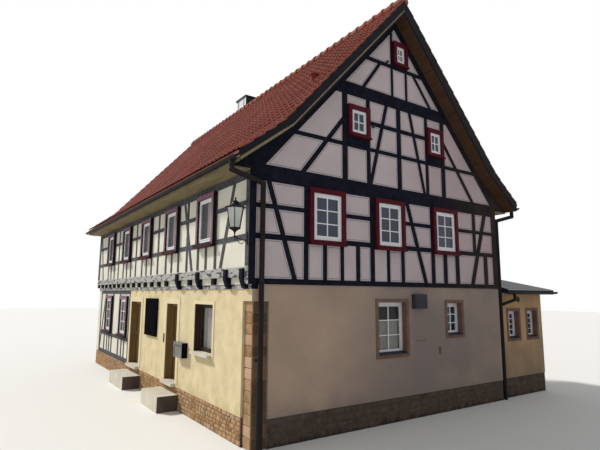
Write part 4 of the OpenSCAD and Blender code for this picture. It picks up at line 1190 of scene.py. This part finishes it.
# A faint raised frame on the yellow plaster between the doors
hatch_y, hatch_z, hatch_w, hatch_h, hatch_bar = 7.08, 0.72, 0.34, 0.62, 0.035
boxes_piece("wall_hatch_frame", [
    (at(-0.006, hatch_y + y0, hatch_z + z0), at(0.0, hatch_y + y1, hatch_z + z1))
    for y0, y1, z0, z1 in ((0, hatch_w, 0, hatch_bar), (0, hatch_w, hatch_h - hatch_bar, hatch_h),
                           (0, hatch_bar, hatch_bar, hatch_h - hatch_bar),
                           (hatch_w - hatch_bar, hatch_w, hatch_bar, hatch_h - hatch_bar))],
    SURROUND, "surround_render")

# Small fittings on the gable, and a clay vent on the street slope
knobs = Shape()
for x, z in ((3.39, 7.30), (3.94, 9.24)):
    knobs.tube([at(x, FRONT_FACE, z), at(x, FRONT_FACE - 0.05, z)], 0.035, 16)
knobs.piece("gable_fittings", DARK_METAL, "vent_grey")
vent = Shape()
vent_x, vent_y = 2.05, 0.69
vent_foot = at(vent_x, vent_y, RIDGE_TOP - ROOF_SLOPE * (RIDGE_X - vent_x))
vent.turned(vent_foot, [(0.11, -0.10), (0.11, 0.09), (0.13, 0.10), (0.13, 0.13), (0.05, 0.16)], 20)
vent.piece("clay_vent", VENT_CLAY, "clay_tiles")

bell = Shape()
bell.box(at(-0.030, 5.20, 1.66), at(0.0, 5.27, 1.90))
bell.tube([at(-0.036, 5.235, 1.74), at(-0.028, 5.235, 1.74)], 0.014, 16)
bell.piece("bell_plate", DARK_METAL, "vent_grey")

# Gutter straps
STRAP_COUNT = 18
STRAP_INSET = 0.15
straps = Shape()
main_gutters = sorted(solids("gutters"), key=lambda b: -b[1].z)[:2]
for low, high in main_gutters:
    centre_x = (low.x + high.x) / 2
    radius = (high.x - low.x) / 2 + 0.004
    centre_z = low.z + radius - 0.004
    for i in range(STRAP_COUNT):
        y = low.y + STRAP_INSET + (high.y - low.y - 2 * STRAP_INSET) * i / (STRAP_COUNT - 1)
        arc = [(centre_x + radius * math.cos(a), centre_z + radius * math.sin(a))
               for a in [math.pi + math.pi * k / 12 for k in range(13)]]
        straps.add([(x, y + side, z) for x, z in arc for side in (-0.015, 0.015)],
                   [(2 * k, 2 * k + 1, 2 * k + 3, 2 * k + 2) for k in range(12)])
straps.piece("gutter_straps", BROWN_SHEET, "brown_sheet")

# Camera, floor and light
camera_data = bpy.data.cameras.new("camera")
camera = bpy.data.objects.new("camera", camera_data)
bpy.context.scene.collection.objects.link(camera)
bpy.context.scene.camera = camera
camera_data.sensor_width = 36
camera_data.lens = 28.08
camera_data.clip_end = 200
camera.location = (-8.876, -15.622, 3.050)
yaw, pitch, roll = (math.radians(a) for a in (34.354, 8.410, 0.376))
forward = Vector((math.sin(yaw) * math.cos(pitch), math.cos(yaw) * math.cos(pitch), math.sin(pitch)))
level = Vector((math.cos(yaw), -math.sin(yaw), 0))
upright = level.cross(forward)
side_axis = level * math.cos(roll) + upright * math.sin(roll)
up_axis = upright * math.cos(roll) - level * math.sin(roll)
camera.rotation_mode = "QUATERNION"
camera.rotation_quaternion = Matrix((side_axis, up_axis, -forward)).transposed().to_quaternion()


def seen_directly(tree):
    """1 for the camera, for gloss and through glass, so the backdrop shows there white."""
    path = add_node(tree, "ShaderNodeLightPath")
    either = maths(tree, "MAXIMUM", path.outputs["Is Camera Ray"], path.outputs["Is Glossy Ray"])
    return maths(tree, "MAXIMUM", either, path.outputs["Is Transmission Ray"])


world = bpy.data.worlds.new("studio")
bpy.context.scene.world = world
world.use_nodes = True
tree = world.node_tree
tree.nodes.clear()
output = add_node(tree, "ShaderNodeOutputWorld")
seen, soft = (add_node(tree, "ShaderNodeBackground") for i in range(2))
for shader, colour, strength in ((seen, WHITE, 1.0), (soft, (0.96, 0.98, 1), 0.50)):
    shader.inputs["Color"].default_value = (*colour, 1)
    shader.inputs["Strength"].default_value = strength
blend = add_node(tree, "ShaderNodeMixShader")
link(tree, seen_directly(tree), blend.inputs[0])
link(tree, soft.outputs[0], blend.inputs[1])
link(tree, seen.outputs[0], blend.inputs[2])
link(tree, blend.outputs[0], output.inputs[0])

sun_data = bpy.data.lights.new("sun", "SUN")
sun = bpy.data.objects.new("sun", sun_data)
bpy.context.scene.collection.objects.link(sun)
sun_data.energy = 3.6
sun_data.angle = math.radians(6)
sun_data.color = (1, 0.97, 0.92)
sun.rotation_mode = "QUATERNION"
sun.rotation_quaternion = Vector((0.40, -0.66, -0.63)).to_track_quat("-Z", "Y")

floor_mesh = bpy.data.meshes.new("floor")
floor_half = 90
floor_mesh.from_pydata([(-floor_half, -floor_half, 0), (floor_half, -floor_half, 0),
                        (floor_half, floor_half, 0), (-floor_half, floor_half, 0)], [], [(0, 1, 2, 3)])
floor = bpy.data.objects.new("floor", floor_mesh)
floor.location.z = -0.001
bpy.context.scene.collection.objects.link(floor)
floor_material, tree, shader = new_material("floor")
shader.inputs["Base Color"].default_value = (0.72, 0.72, 0.70, 1)
shader.inputs["Roughness"].default_value = 0.95
floor_mesh.materials.append(floor_material)

bpy.context.scene.view_settings.view_transform = "Standard"
